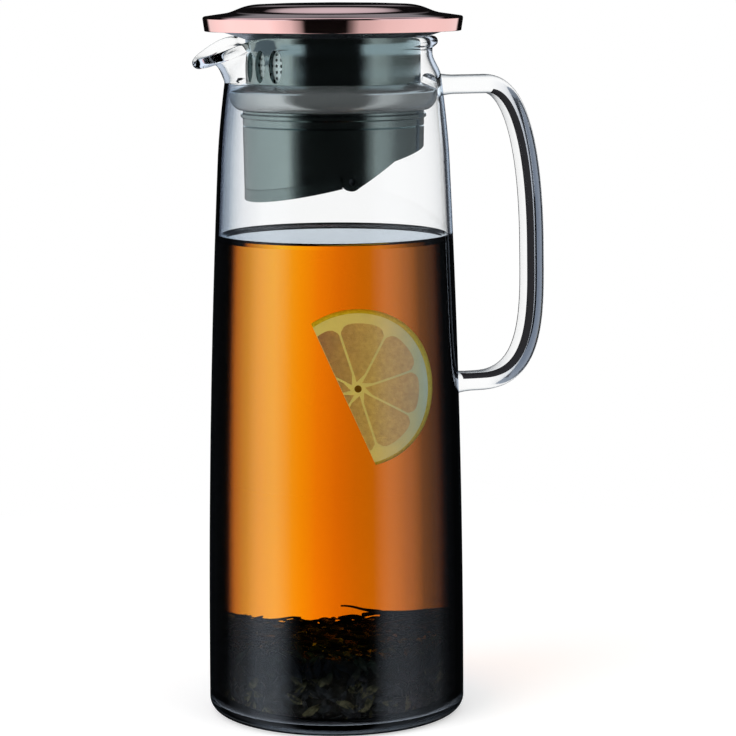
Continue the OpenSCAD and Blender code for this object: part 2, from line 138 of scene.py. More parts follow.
def make_piece(name: str, points: Iterable[Sequence[float]], faces: Iterable[Sequence[int]],
               sharp: Optional[float] = None, merge: float = 1e-6) -> bpy.types.Object:
    """Makes a closed, smooth-shaded mesh object from points in metres.

    Args:
        name: the piece's name.
        points: the mesh's points, in metres, in the frame of the part.
        faces: the corners of each face.
        sharp: edges that turn more than this many degrees stay sharp; None keeps none.
        merge: points closer than this many metres become one.

    Returns:
        The new object, at the origin.
    """
    mesh = bpy.data.meshes.new(name)
    mesh.from_pydata([tuple(p) for p in points], [], [tuple(f) for f in faces])
    work = bmesh.new()
    work.from_mesh(mesh)
    bmesh.ops.remove_doubles(work, verts=work.verts, dist=merge)
    bmesh.ops.recalc_face_normals(work, faces=work.faces)
    work.to_mesh(mesh)
    work.free()
    shade(mesh, sharp)
    return new_object(name, mesh)


def shade(mesh: bpy.types.Mesh, sharp: Optional[float]) -> None:
    """Shades a mesh smooth, with its steep edges kept sharp."""
    mesh.polygons.foreach_set("use_smooth", [True] * len(mesh.polygons))
    if sharp is not None:
        mesh.set_sharp_from_angle(angle=math.radians(sharp))
    mesh.update()


def turned(profile: Sequence[Point2], closed: bool, segments: int) -> tuple[np.ndarray, list[list[int]]]:
    """Turns a section about the jug's axis.

    Args:
        profile: radius and height of the section's points, in millimetres.
        closed: whether the section's last point joins its first.
        segments: how many steps go round.

    Returns:
        The points in metres, and the faces.
    """
    angles = np.arange(segments) * 2 * math.pi / segments
    section = np.array(profile, float) * MM
    points = np.stack([np.outer(np.cos(angles), section[:, 0]), np.outer(np.sin(angles), section[:, 0]),
                       np.tile(section[:, 1], (segments, 1))], axis=2)
    return points.reshape(-1, 3), grid_faces(segments, len(section), True, closed)


def grid_faces(rows: int, columns: int, rows_close: bool, columns_close: bool) -> list[list[int]]:
    """Faces that join rows of points into a skin.

    Args:
        rows: how many rows there are.
        columns: how many points each row has.
        rows_close: whether the last row joins the first.
        columns_close: whether each row's last point joins its first.

    Returns:
        The faces, four corners each.
    """
    faces = []
    for i in range(rows if rows_close else rows - 1):
        k = (i + 1) % rows
        for j in range(columns if columns_close else columns - 1):
            m = (j + 1) % columns
            faces.append([i * columns + j, k * columns + j, k * columns + m, i * columns + m])
    return faces


def bar_faces(rows: int, around: int) -> list[list[int]]:
    """Faces of a closed bar: rows of points round it, with a flat cap at each end."""
    ends = [list(range(around))[::-1], [(rows - 1) * around + s for s in range(around)]]
    return grid_faces(rows, around, False, True) + ends


def turned_piece(name: str, profile: Sequence[Point2], closed: bool, segments: int,
                 sharp: float) -> bpy.types.Object:
    """Makes a piece by turning a section about the jug's axis, as turned and make_piece say."""
    points, faces = turned(profile, closed, segments)
    return make_piece(name, points, faces, sharp)


def dress(piece: bpy.types.Object, *finishes: bpy.types.Material) -> bpy.types.Object:
    """Gives a piece its materials, in the order of its faces' slots."""
    piece.data.materials.clear()
    for finish in finishes:
        piece.data.materials.append(finish)
    return piece


def settle(piece: bpy.types.Object, body: Body, stands_for: Sequence[str] = ()) -> bpy.types.Object:
    """Puts a finished piece on its body.

    Args:
        piece: the finished piece.
        body: the body that it rides on.
        stands_for: the CAD nodes that it replaces.

    Returns:
        The piece.
    """
    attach(piece, body.value)
    if stands_for:
        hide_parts(*stands_for)
    LOG.info("%s: %d faces on %s", piece.name, len(piece.data.polygons), body.value)
    return piece


class Graph:
    """Builds a node tree in few words."""

    def __init__(self, tree: bpy.types.NodeTree) -> None:
        """Starts on a tree and clears it."""
        self.tree = tree
        tree.nodes.clear()

    def add(self, kind: str, inputs: Optional[dict] = None, **settings: object) -> bpy.types.Node:
        """Adds a node.

        Args:
            kind: the node's type name.
            inputs: a number, colour or output socket for each input, by name or place.
            **settings: the node's own properties.

        Returns:
            The new node.
        """
        node = self.tree.nodes.new(kind)
        for key, value in settings.items():
            setattr(node, key, value)
        for key, value in (inputs or {}).items():
            self.put(node, key, value)
        return node

    def put(self, node: bpy.types.Node, key: object, value: object) -> None:
        """Links or sets one input of a node."""
        socket = node.inputs[key]
        if isinstance(value, bpy.types.NodeSocket):
            self.tree.links.new(value, socket)
        elif socket.type == "RGBA" and len(value) == 3:
            socket.default_value = (*value, 1.0)
        else:
            socket.default_value = value

    def ramp(self, factor: bpy.types.NodeSocket, stops: Sequence[tuple[float, Colour]],
             smooth: bool = True) -> bpy.types.NodeSocket:
        """Adds a colour ramp over a factor and returns its colour socket."""
        node = self.add("ShaderNodeValToRGB", {"Fac": factor})
        ramp = node.color_ramp
        ramp.interpolation = "EASE" if smooth else "LINEAR"
        while len(ramp.elements) < len(stops):
            ramp.elements.new(0.5)
        for element, (place, colour) in zip(ramp.elements, stops):
            element.position = place
            element.color = (*colour, 1.0)
        return node.outputs["Color"]

    def math(self, operation: str, a: object, b: object = 0.0, clamp: bool = False) -> bpy.types.NodeSocket:
        """Adds a Math node and returns its value socket."""
        return self.add("ShaderNodeMath", {0: a, 1: b}, operation=operation, use_clamp=clamp).outputs[0]

    def mix(self, factor: object, a: object, b: object, blend: str = "MIX") -> bpy.types.NodeSocket:
        """Mixes two colours and returns the result's socket."""
        node = self.add("ShaderNodeMix", data_type="RGBA", blend_type=blend)
        for place, value in ((0, factor), (6, a), (7, b)):
            self.put(node, place, value)
        return node.outputs[2]

    def put_all(self, node: bpy.types.Node, **values: object) -> None:
        """Links or sets several inputs of a node (underscores stand for spaces)."""
        for label, value in values.items():
            self.put(node, label.replace("_", " "), value)

    def times(self, a: object, b: object) -> bpy.types.NodeSocket:
        """Multiplies two colours."""
        return self.mix(1.0, a, b, "MULTIPLY")

    def between(self, value: object, low: float, high: float) -> bpy.types.NodeSocket:
        """How far a value lies between two others, from 0 to 1."""
        return self.add("ShaderNodeMapRange", {"Value": value, "From Min": low, "From Max": high}).outputs[0]

    def along(self, axis: str) -> bpy.types.NodeSocket:
        """Object coordinate along one axis of the part."""
        place = self.add("ShaderNodeTexCoord").outputs["Object"]
        return self.add("ShaderNodeSeparateXYZ", {0: place}).outputs[axis]

    def noise(self, place: object, scale: object, detail: float) -> bpy.types.NodeSocket:
        """Adds a noise texture and returns its value from 0 to 1."""
        node = self.add("ShaderNodeTexNoise", {"Vector": place, "Scale": scale, "Detail": detail})
        return node.outputs["Fac"]

    def facing(self) -> bpy.types.NodeSocket:
        """How far a surface turns away from the line of sight."""
        return self.add("ShaderNodeLayerWeight", {"Blend": 0.5}).outputs["Facing"]

    def behind(self) -> bpy.types.NodeSocket:
        """Whether a surface is seen from its inner side."""
        return self.add("ShaderNodeNewGeometry").outputs["Backfacing"]

    def relief(self, strength: float, depth: float, height: object) -> bpy.types.NodeSocket:
        """Normal of a bump, its depth in millimetres."""
        return self.add("ShaderNodeBump", {"Strength": strength, "Distance": depth * MM,
                                           "Height": height}).outputs[0]


class SurfaceGroups:
    """Shader node groups that several finishes share, each built once."""

    made: dict[str, bpy.types.ShaderNodeTree] = {}

    @classmethod
    def start(cls, name: str, numbers: dict[str, float], outputs: dict[str, str]) -> tuple[Graph, dict]:
        """Makes an empty group.

        Args:
            name: the group's name.
            numbers: its number inputs with their defaults.
            outputs: its outputs with their socket types.

        Returns:
            The graph inside the group, and its input sockets by name.
        """
        tree = bpy.data.node_groups.new(name, "ShaderNodeTree")
        for label, value in numbers.items():
            socket = tree.interface.new_socket(name=label, in_out="INPUT", socket_type="NodeSocketFloat")
            socket.default_value = value
        for label, kind in outputs.items():
            tree.interface.new_socket(name=label, in_out="OUTPUT", socket_type=kind)
        graph = Graph(tree)
        ins = graph.add("NodeGroupInput").outputs
        cls.made[name] = tree
        return graph, {label: ins[label] for label in numbers}

    @classmethod
    def ripple(cls) -> bpy.types.ShaderNodeTree:
        """Soft unevenness of a blown or moulded surface: a height over Object coordinates."""
        if "ripple" not in cls.made:
            graph, ins = cls.start("ripple", {"Size": 0.03, "Upright Stretch": 0.35},
                                   {"Height": "NodeSocketFloat"})
            place = graph.add("ShaderNodeTexCoord").outputs["Object"]
            apart = graph.add("ShaderNodeSeparateXYZ", {0: place}).outputs
            low = graph.math("MULTIPLY", apart["Z"], ins["Upright Stretch"])
            joined = graph.add("ShaderNodeCombineXYZ", {"X": apart["X"], "Y": apart["Y"], "Z": low})
            scale = graph.math("DIVIDE", 1.0, ins["Size"])
            graph.put(graph.add("NodeGroupOutput"), "Height", graph.noise(joined.outputs[0], scale, 1.0))
        return cls.made["ripple"]

    @classmethod
    def handling(cls) -> bpy.types.ShaderNodeTree:
        """Faint wipe marks and speckle left by handling: a roughness and a fine height."""
        if "handling" not in cls.made:
            graph, ins = cls.start("handling", {"Base Roughness": 0.1, "Marks": 0.05, "Speckle Size": 0.0006},
                                   {"Roughness": "NodeSocketFloat", "Height": "NodeSocketFloat"})
            place = graph.add("ShaderNodeTexCoord").outputs["Object"]
            wide = graph.noise(place, 90.0, 4.0)
            fine = graph.noise(place, graph.math("DIVIDE", 1.0, ins["Speckle Size"]), 2.0)
            soft = graph.math("SUBTRACT", wide, 0.5)
            marks = graph.math("MULTIPLY", soft, ins["Marks"])
            out = graph.add("NodeGroupOutput")
            graph.put(out, "Roughness", graph.math("ADD", ins["Base Roughness"], marks, clamp=True))
            graph.put(out, "Height", fine)
        return cls.made["handling"]

    @classmethod
    def mottle(cls) -> bpy.types.ShaderNodeTree:
        """Cloudy variation of plant and moulded matter: a mask from 0 to 1."""
        if "mottle" not in cls.made:
            graph, ins = cls.start("mottle", {"Size": 0.004, "Contrast": 2.0}, {"Mask": "NodeSocketFloat"})
            place = graph.add("ShaderNodeTexCoord").outputs["Object"]
            cloud = graph.noise(place, graph.math("DIVIDE", 1.0, ins["Size"]), 5.0)
            spread_out = graph.math("MULTIPLY", graph.math("SUBTRACT", cloud, 0.5), ins["Contrast"])
            out = graph.add("NodeGroupOutput")
            graph.put(out, "Mask", graph.math("ADD", spread_out, 0.5, clamp=True))
        return cls.made["mottle"]


def place_group(graph: Graph, tree: bpy.types.ShaderNodeTree, **values: object) -> bpy.types.Node:
    """Places a shared group in a material, with its own values (underscores stand for spaces)."""
    node = graph.add("ShaderNodeGroup", node_tree=tree)
    graph.put_all(node, **values)
    return node


def new_material(name: str) -> tuple[bpy.types.Material, Graph, bpy.types.Node, bpy.types.Node]:
    """Makes a material with a Principled shader linked to its output.

    Args:
        name: the material's name.

    Returns:
        The material, its graph, the Principled node and the output node.
    """
    material = bpy.data.materials.new(name)
    material.use_nodes = True
    graph = Graph(material.node_tree)
    surface = graph.add("ShaderNodeBsdfPrincipled")
    output = graph.add("ShaderNodeOutputMaterial")
    graph.put(output, "Surface", surface.outputs[0])
    return material, graph, surface, output


def let_lamps_through(graph: Graph, surface: bpy.types.Node, output: bpy.types.Node, tint: Colour) -> None:
    """Lets lamp light pass a clear material, tinted, so that what stands inside is lit."""
    path = graph.add("ShaderNodeLightPath")
    clear = graph.add("ShaderNodeBsdfTransparent", {"Color": tint})
    both = graph.add("ShaderNodeMixShader", {0: path.outputs["Is Shadow Ray"], 1: surface.outputs[0],
                                             2: clear.outputs[0]})
    graph.put(output, "Surface", both.outputs[0])


Stops = tuple[tuple[float, Colour], ...]

CLEAR: Colour = (0.995, 0.999, 0.999)
BLACK: Colour = (0.0, 0.0, 0.0)
# Painted shade for the glass: ramps over the angle of view that paint the wall darker toward its edges, in
# place of the dark refraction and reflection there. The first is for the wall beside the tea. Above the tea,
# a shaded ramp and a lit ramp paint one side of the jug darker than the other.
TEA_WALL_PAINTED_EDGES: Stops = ((0.0, CLEAR), (0.50, CLEAR), (0.66, (0.70, 0.74, 0.78)), (0.80, (0.20, 0.22, 0.26)),
                    (0.92, (0.02, 0.02, 0.03)))
SHADED_EDGES: Stops = ((0.0, CLEAR), (0.20, (0.96, 0.97, 0.98)), (0.36, (0.74, 0.77, 0.82)),
                       (0.47, (0.45, 0.52, 0.60)), (0.55, (0.20, 0.27, 0.36)), (0.655, (0.14, 0.195, 0.29)),
                       (0.70, (0.045, 0.06, 0.095)), (0.745, BLACK))
LIT_EDGES: Stops = ((0.0, CLEAR), (0.72, (0.98, 0.99, 1.0)), (0.80, (0.66, 0.74, 0.82)),
                    (0.88, (0.20, 0.27, 0.34)), (0.95, (0.02, 0.03, 0.05)))
# Painted shade on the edges of the rim.
RIM_EDGES: Stops = ((0.0, CLEAR), (0.80, CLEAR), (0.91, (0.30, 0.36, 0.37)), (0.97, (0.02, 0.03, 0.03)))
# Painted shade and a painted grey-blue reflection in strips across the grip and arms of the handle.
GRIP_EDGES: Stops = ((0.0, (0.36, 0.42, 0.52)), (0.10, (0.42, 0.48, 0.58)), (0.24, (0.80, 0.85, 0.92)),
                     (0.40, CLEAR), (0.74, CLEAR), (0.85, (0.16, 0.19, 0.24)), (0.94, (0.01, 0.01, 0.02)))
ARM_EDGES: Stops = ((0.0, CLEAR), (0.48, CLEAR), (0.66, (0.42, 0.47, 0.52)), (0.80, (0.05, 0.06, 0.07)))
# Painted shade: the foot and the inner floor of the glass are painted nearly black.
FOOT_PAINTED_DARK: Stops = ((0.0, (0.010, 0.012, 0.014)), (1.0, (0.004, 0.005, 0.006)))


@dataclass(frozen=True)
class ClearGlass:
    """Clear blown glass with painted shade: its edges are painted dark where the wall is seen along its
    length.
    """

    name: str
    edges: Stops = ((0.0, CLEAR), (1.0, CLEAR))
    other_edges: Optional[Stops] = None
    change: Point2 = (-20.0, 20.0)
    wave_size: float = 0.030
    wave_depth: float = 0.012
    bend: float = 1.47
    wet: bool = False

    def make(self) -> bpy.types.Material:
        """Builds the material; the edge ramps paint shade by the angle of view, other_edges paints a second
        shade that takes over toward the handle, and wet glass gives no glare.
        """
        material, graph, surface, output = new_material(self.name)
        # Painted shade: the colour that tints light through the glass darkens with the angle of view.
        facing = graph.facing()
        edges = graph.ramp(facing, self.edges, False)
        if self.other_edges:
            part = graph.between(graph.along("X"), self.change[0] * MM, self.change[1] * MM)
            edges = graph.mix(part, edges, graph.ramp(facing, self.other_edges, False))
        wave = place_group(graph, SurfaceGroups.ripple(), Size=self.wave_size)
        graph.put_all(surface, Base_Color=graph.mix(graph.behind(), edges, (*CLEAR, 1.0)), Roughness=0.0,
                      IOR=self.bend, Transmission_Weight=1.0,
                      Normal=graph.relief(0.25, self.wave_depth, wave.outputs["Height"]))
        if self.wet:
            graph.put(surface, "Specular Tint", BLACK)
        let_lamps_through(graph, surface, output, (0.93, 0.95, 0.95))
        return material


# Painted shade for the sides of the tea: ramps over the angle of view that darken the near and far sides
# toward their edges, and a second far-side ramp for one end of the jug.
NEAR_SIDE: Stops = ((0.0, (1.0, 1.0, 1.0)), (0.178, (1.0, 1.0, 1.0)), (0.192, (0.45, 0.42, 0.42)),
                    (0.206, (0.04, 0.035, 0.035)), (0.224, (0.004, 0.003, 0.003)), (0.25, BLACK))
FAR_SIDE: Stops = ((0.0, (1.0, 1.0, 1.0)), (0.0388, (0.86, 0.89, 0.89)), (0.0575, (0.72, 0.49, 0.49)),
                   (0.077, (0.39, 0.23, 0.23)), (0.0919, (0.265, 0.09, 0.09)),
                   (0.1037, (0.147, 0.028, 0.028)), (0.108, (0.02, 0.004, 0.004)),
                   (0.1165, (0.0006, 0.0004, 0.0004)), (0.125, BLACK))
FAR_LIT_SIDE: Stops = ((0.0, (1.0, 1.0, 1.0)), (0.0266, (1.0, 1.0, 1.0)), (0.0502, (0.40, 0.37, 0.37)),
                       (0.0735, (0.060, 0.060, 0.060)), (0.0919, (0.0155, 0.014, 0.014)),
                       (0.106, (0.010, 0.006, 0.006)), (0.120, BLACK))
# Painted shade across the jug: a ramp along the part's X axis that paints one side of the tea darker and
# redder.
PAINTED_SHADE_ACROSS: Stops = ((0.0, (1.0, 1.0, 1.0)), (0.50, (1.0, 0.95, 0.95)), (0.584, (1.0, 0.45, 0.45)),
                   (0.625, (0.81, 0.21, 0.21)), (0.666, (0.57, 0.117, 0.117)), (0.703, (0.40, 0.092, 0.092)),
                   (0.739, (0.33, 0.088, 0.088)), (0.774, (0.37, 0.12, 0.12)), (1.0, (0.37, 0.12, 0.12)))
# Painted reflection and shade for the open surface of the tea, set by the angle of view, and a painted dark
# line up its raised edge.
TEA_TOP_PAINTED_REFLECTION: Stops = ((0.0, (0.95, 0.92, 0.90)), (0.25, (0.80, 0.80, 0.80)), (0.45, (0.20, 0.27, 0.36)),
                  (0.86, (0.04, 0.14, 0.34)), (1.0, (0.01, 0.08, 0.26)))
MENISCUS_PAINTED_SHADE: Stops = ((0.0, (1.0, 1.0, 1.0)), (0.03, (0.25, 0.45, 0.80)), (0.10, (0.002, 0.02, 0.10)),
                   (0.40, (0.0, 0.0005, 0.003)))


@dataclass(frozen=True)
class BrewedTea:
    """Amber tea that deepens with its thickness, with painted shade that darkens it at the glass's sides and
    toward one side of the jug.
    """

    name: str = "brewed_tea"
    passes: Colour = (0.999, 0.855, 0.0)
    density: float = 66.0
    half_width: float = 0.048
    refraction: float = 1.333

    def start(self, name: str) -> tuple[bpy.types.Material, Graph, bpy.types.Node]:
        """Starts a clear, absorbing liquid and returns its material, graph and Principled node."""
        material, graph, surface, output = new_material(name)
        graph.put_all(surface, Roughness=0.0, IOR=self.refraction, Transmission_Weight=1.0)
        absorb = graph.add("ShaderNodeVolumeAbsorption", {"Color": self.passes, "Density": self.density})
        graph.put(output, "Volume", absorb.outputs[0])
        let_lamps_through(graph, surface, output, (0.97, 0.95, 0.92))
        return material, graph, surface

    @staticmethod
    def cloud(graph: Graph, size: float, contrast: float, tint: Colour) -> bpy.types.NodeSocket:
        """Adds a faint cloudiness between a tint and white."""
        clouds = place_group(graph, SurfaceGroups.mottle(), Size=size, Contrast=contrast)
        return graph.ramp(clouds.outputs["Mask"], [(0.0, tint), (1.0, (1.0, 1.0, 1.0))])

    def make(self) -> bpy.types.Material:
        """Builds the material of the sides, which lie against the glass and give no glare; their colour is
        painted shade, set by the angle of view and by the place along the part's X axis.
        """
        material, graph, surface = self.start(self.name)
        facing = graph.facing()
        # Painted shade: the far side's ramps change along the X axis, and that end of the tea is painted
        # darker and redder.
        part = graph.between(graph.along("X"), -self.half_width, self.half_width)
        depth = graph.mix(graph.between(part, 0.60, 0.70), graph.ramp(facing, FAR_SIDE, False),
                          graph.ramp(facing, FAR_LIT_SIDE, False))
        far = graph.times(depth, graph.ramp(part, PAINTED_SHADE_ACROSS, False))
        both = graph.mix(graph.behind(), graph.ramp(facing, NEAR_SIDE, False), far)
        faint = self.cloud(graph, 0.02, 0.4, (0.97, 0.96, 0.94))
        graph.put_all(surface, Base_Color=graph.times(both, faint), Specular_Tint=BLACK)
        return material

    def make_top(self) -> bpy.types.Material:
        """Builds the material of the tea's open surface, with painted reflection and shade: pale where it
        faces the eye and dark blue at a glancing angle.
        """
        material, graph, surface = self.start(self.name + "_surface")
        flat = graph.times(graph.ramp(graph.facing(), TEA_TOP_PAINTED_REFLECTION, False),
                           self.cloud(graph, 0.012, 0.5, (0.90, 0.88, 0.86)))
        # Painted shade: a dark line painted up the raised edge against the glass.
        risen = graph.between(graph.along("Z"), TEA_Z * MM, (TEA_Z + MENISCUS) * MM)
        graph.put(surface, "Base Color", graph.times(flat, graph.ramp(risen, MENISCUS_PAINTED_SHADE, False)))
        return material


@dataclass(frozen=True)
class PlatedMetal:
    """Polished metal with slight clouding and faint marks of handling."""

    name: str
    colour: Colour
    shade_colour: Colour
    roughness: float
    marks: float
    metallic: float = 1.0
    speckle: float = 0.0006
    grain: float = 0.02
    grain_depth: float = 0.02
    cloud_size: float = 0.025
    cloud_contrast: float = 1.2

    def make(self) -> bpy.types.Material:
        """Builds the material."""
        material, graph, surface, _ = new_material(self.name)
        marks = place_group(graph, SurfaceGroups.handling(), Base_Roughness=self.roughness, Marks=self.marks,
                            Speckle_Size=self.speckle).outputs
        clouds = place_group(graph, SurfaceGroups.mottle(), Size=self.cloud_size,
                             Contrast=self.cloud_contrast)
        graph.put_all(surface, Base_Color=graph.mix(clouds.outputs["Mask"], self.shade_colour, self.colour),
                      Roughness=marks["Roughness"], Metallic=self.metallic,
                      Normal=graph.relief(self.grain, self.grain_depth, marks["Height"]))
        return material


@dataclass(frozen=True)
class MouldedPlastic(PlatedMetal):
    """Moulded plastic or silicone: a surface like the metal's, with a finer skin."""

    metallic: float = 0.0
    speckle: float = 0.0004
    grain: float = 0.1
    grain_depth: float = 0.03
    cloud_size: float = 0.012
    cloud_contrast: float = 1.0


@dataclass(frozen=True)
class PlantMatter:
    """Leaf, rind or pulp: two mottled colours with a soft wet gloss, and where asked a painted shade along
    one axis and a painted glow.
    """

    name: str
    dark: Colour
    light: Colour
    size: float = 0.003
    contrast: float = 2.5
    roughness: float = 0.45
    relief: float = 0.4
    painted_glow: Colour = BLACK
    fade_axis: str = "Z"
    fade: Point2 = (0.0, 1.0)
    painted_shade_tint: Optional[Colour] = None

    def make(self) -> bpy.types.Material:
        """Builds the material; its colours are multiplied toward a painted shade tint along an axis of the
        part, and a painted glow is added as emission.
        """
        material, graph, surface, _ = new_material(self.name)
        clouds = place_group(graph, SurfaceGroups.mottle(), Size=self.size, Contrast=self.contrast)
        fine = place_group(graph, SurfaceGroups.mottle(), Size=self.size * 0.3, Contrast=self.contrast)
        colour = graph.mix(clouds.outputs["Mask"], self.dark, self.light)
        # Painted shade: the colour is darkened toward the tint along the axis.
        if self.painted_shade_tint:
            part = graph.between(graph.along(self.fade_axis), self.fade[0] * MM, self.fade[1] * MM)
            colour = graph.mix(part, colour, graph.times(colour, self.painted_shade_tint))
        graph.put_all(surface, Base_Color=colour, Roughness=self.roughness,
                      Normal=graph.relief(self.relief, 0.3, fine.outputs["Mask"]))
        # Painted light: an emission that brightens the surface though it is no lamp.
        if max(self.painted_glow) > 0:
            graph.put_all(surface, Emission_Color=self.painted_glow, Emission_Strength=1.0)
        return material


@dataclass(frozen=True)
class JugForm:
    """The rule for the jug's wall, shared by the glass, the tea and the leaves."""

    radius: float = 48.6
    rim_z: float = 255.5
    wall: float = 1.9
    floor_z: float = 3.8
    foot_round: float = 5.0
    ring_width: float = 3.0
    push_up: float = 1.2
    throat_radius: float = 37.0
    throat_drop: float = 6.9
    bead: float = 1.9
    shoulder_length: float = 36.6
    shoulder_in: float = 2.1
    turn_in: float = 2.1
    turn_length: float = 8.1
    spout_pull: float = 16.48
    spout_drop: float = 6.5
    spout_half: float = 40.0
    dip_half: float = 30.0
    neck_drop: float = 17.1

    @property
    def cove(self) -> float:
        """Radius of the cove between the wall and the floor inside."""
        return self.foot_round + 1

    @property
    def cove_top(self) -> float:
        """Height at which the cove meets the wall."""
        return self.floor_z + self.cove

    @property
    def throat_z(self) -> float:
        """Height of the throat."""
        return self.rim_z - self.throat_drop

    @property
    def bead_z(self) -> float:
        """Height of the middle of the rim bead."""
        return self.rim_z - self.bead

    @property
    def neck_z(self) -> float:
        """Height from which the neck is pulled."""
        return self.rim_z - self.neck_drop

    def outer(self, z: float) -> float:
        """Outer radius of the wall at a height below the throat."""
        barrel_in = self.radius - self.throat_radius - self.shoulder_in - self.turn_in
        return (self.radius - barrel_in * (z / self.throat_z) ** 2
                - self.shoulder_in * share(z, self.throat_z - self.shoulder_length, self.throat_z) ** 1.5
                - self.turn_in * ease(share(z, self.throat_z - self.turn_length, self.throat_z)))

    def inner(self, z: float, gap: float = 0.0) -> float:
        """Inner radius of the wall at a height, less a gap, with the cove at the floor."""
        if z >= self.cove_top:
            return self.outer(z) - self.wall - gap
        middle = self.outer(self.cove_top) - self.wall - self.cove
        drop = min(self.cove - gap, self.cove_top - z)
        return middle + math.sqrt(max(0.0, (self.cove - gap) ** 2 - drop ** 2))

    @staticmethod
    def bell(angle: float, half: float, power: float) -> float:
        """How much of the spout's pull the rim takes at an angle from the spout."""
        return 0.0 if abs(angle) >= half else math.cos(math.radians(90 * angle / half)) ** power

    def neck_middle(self, z: float, angle: float) -> np.ndarray:
        """Middle of the wall at a level of the neck, pulled out and down near the spout."""
        t = share(z, self.neck_z, self.bead_z)
        return np.array([
            self.outer(min(z, self.throat_z)) - self.wall / 2
            + self.spout_pull * self.bell(angle, self.spout_half, 2.5) * t ** 1.3,
            z - self.spout_drop * self.bell(angle, self.dip_half, 2) * t ** 3])

    def section(self, angle: float) -> list[Point2]:
        """Section of the glass at an angle from the spout.

        Args:
            angle: degrees from the spout, within 180 either way.

        Returns:
            Radius and height of the outline, from under the foot over the rim to the floor.
        """
        foot = self.outer(self.foot_round) - self.foot_round
        ring_in = foot - self.ring_width
        line = rounded([(0, self.push_up, 0), (ring_in - 2.4, self.push_up, 3), (ring_in, 0, 0.8),
                        (foot + 0.01, 0, 0)], 6)
        line += arc(foot, self.foot_round, self.foot_round, -84, 0, 14)
        line += [(self.outer(z), z) for z in spread(self.foot_round, self.neck_z, 44)[1:-1]]
        levels = spread(self.neck_z, self.throat_z, 9) + [(self.throat_z + self.bead_z) / 2]
        fine = 0.05
        half = self.wall / 2
        outside, inside = [], []
        ahead = np.array([0.0, 1.0])
        for z in levels + [self.bead_z]:
            middle = self.neck_middle(z, angle)
            run = middle - self.neck_middle(z - fine, angle)
            ahead = run / np.linalg.norm(run)
            out = np.array([ahead[1], -ahead[0]])
            outside.append(tuple(middle + half * out))
            inside.append(tuple(middle - half * out))
        rim = middle + (self.bead + 0.1 - half) * out
        line += outside[:-1]
        for a in spread(-60, 165, 22):
            turn = math.radians(a)
            line.append(tuple(rim + self.bead * (math.cos(turn) * out + math.sin(turn) * ahead)))
        line += inside[-2::-1]
        top = self.cove_top
        line += [(self.inner(z), z) for z in spread(self.neck_z, top, 44)[1:]]
        line += arc(self.inner(top) - self.cove, top, self.cove, -6, -90, 14)
        return line + [(0.0, self.floor_z)]


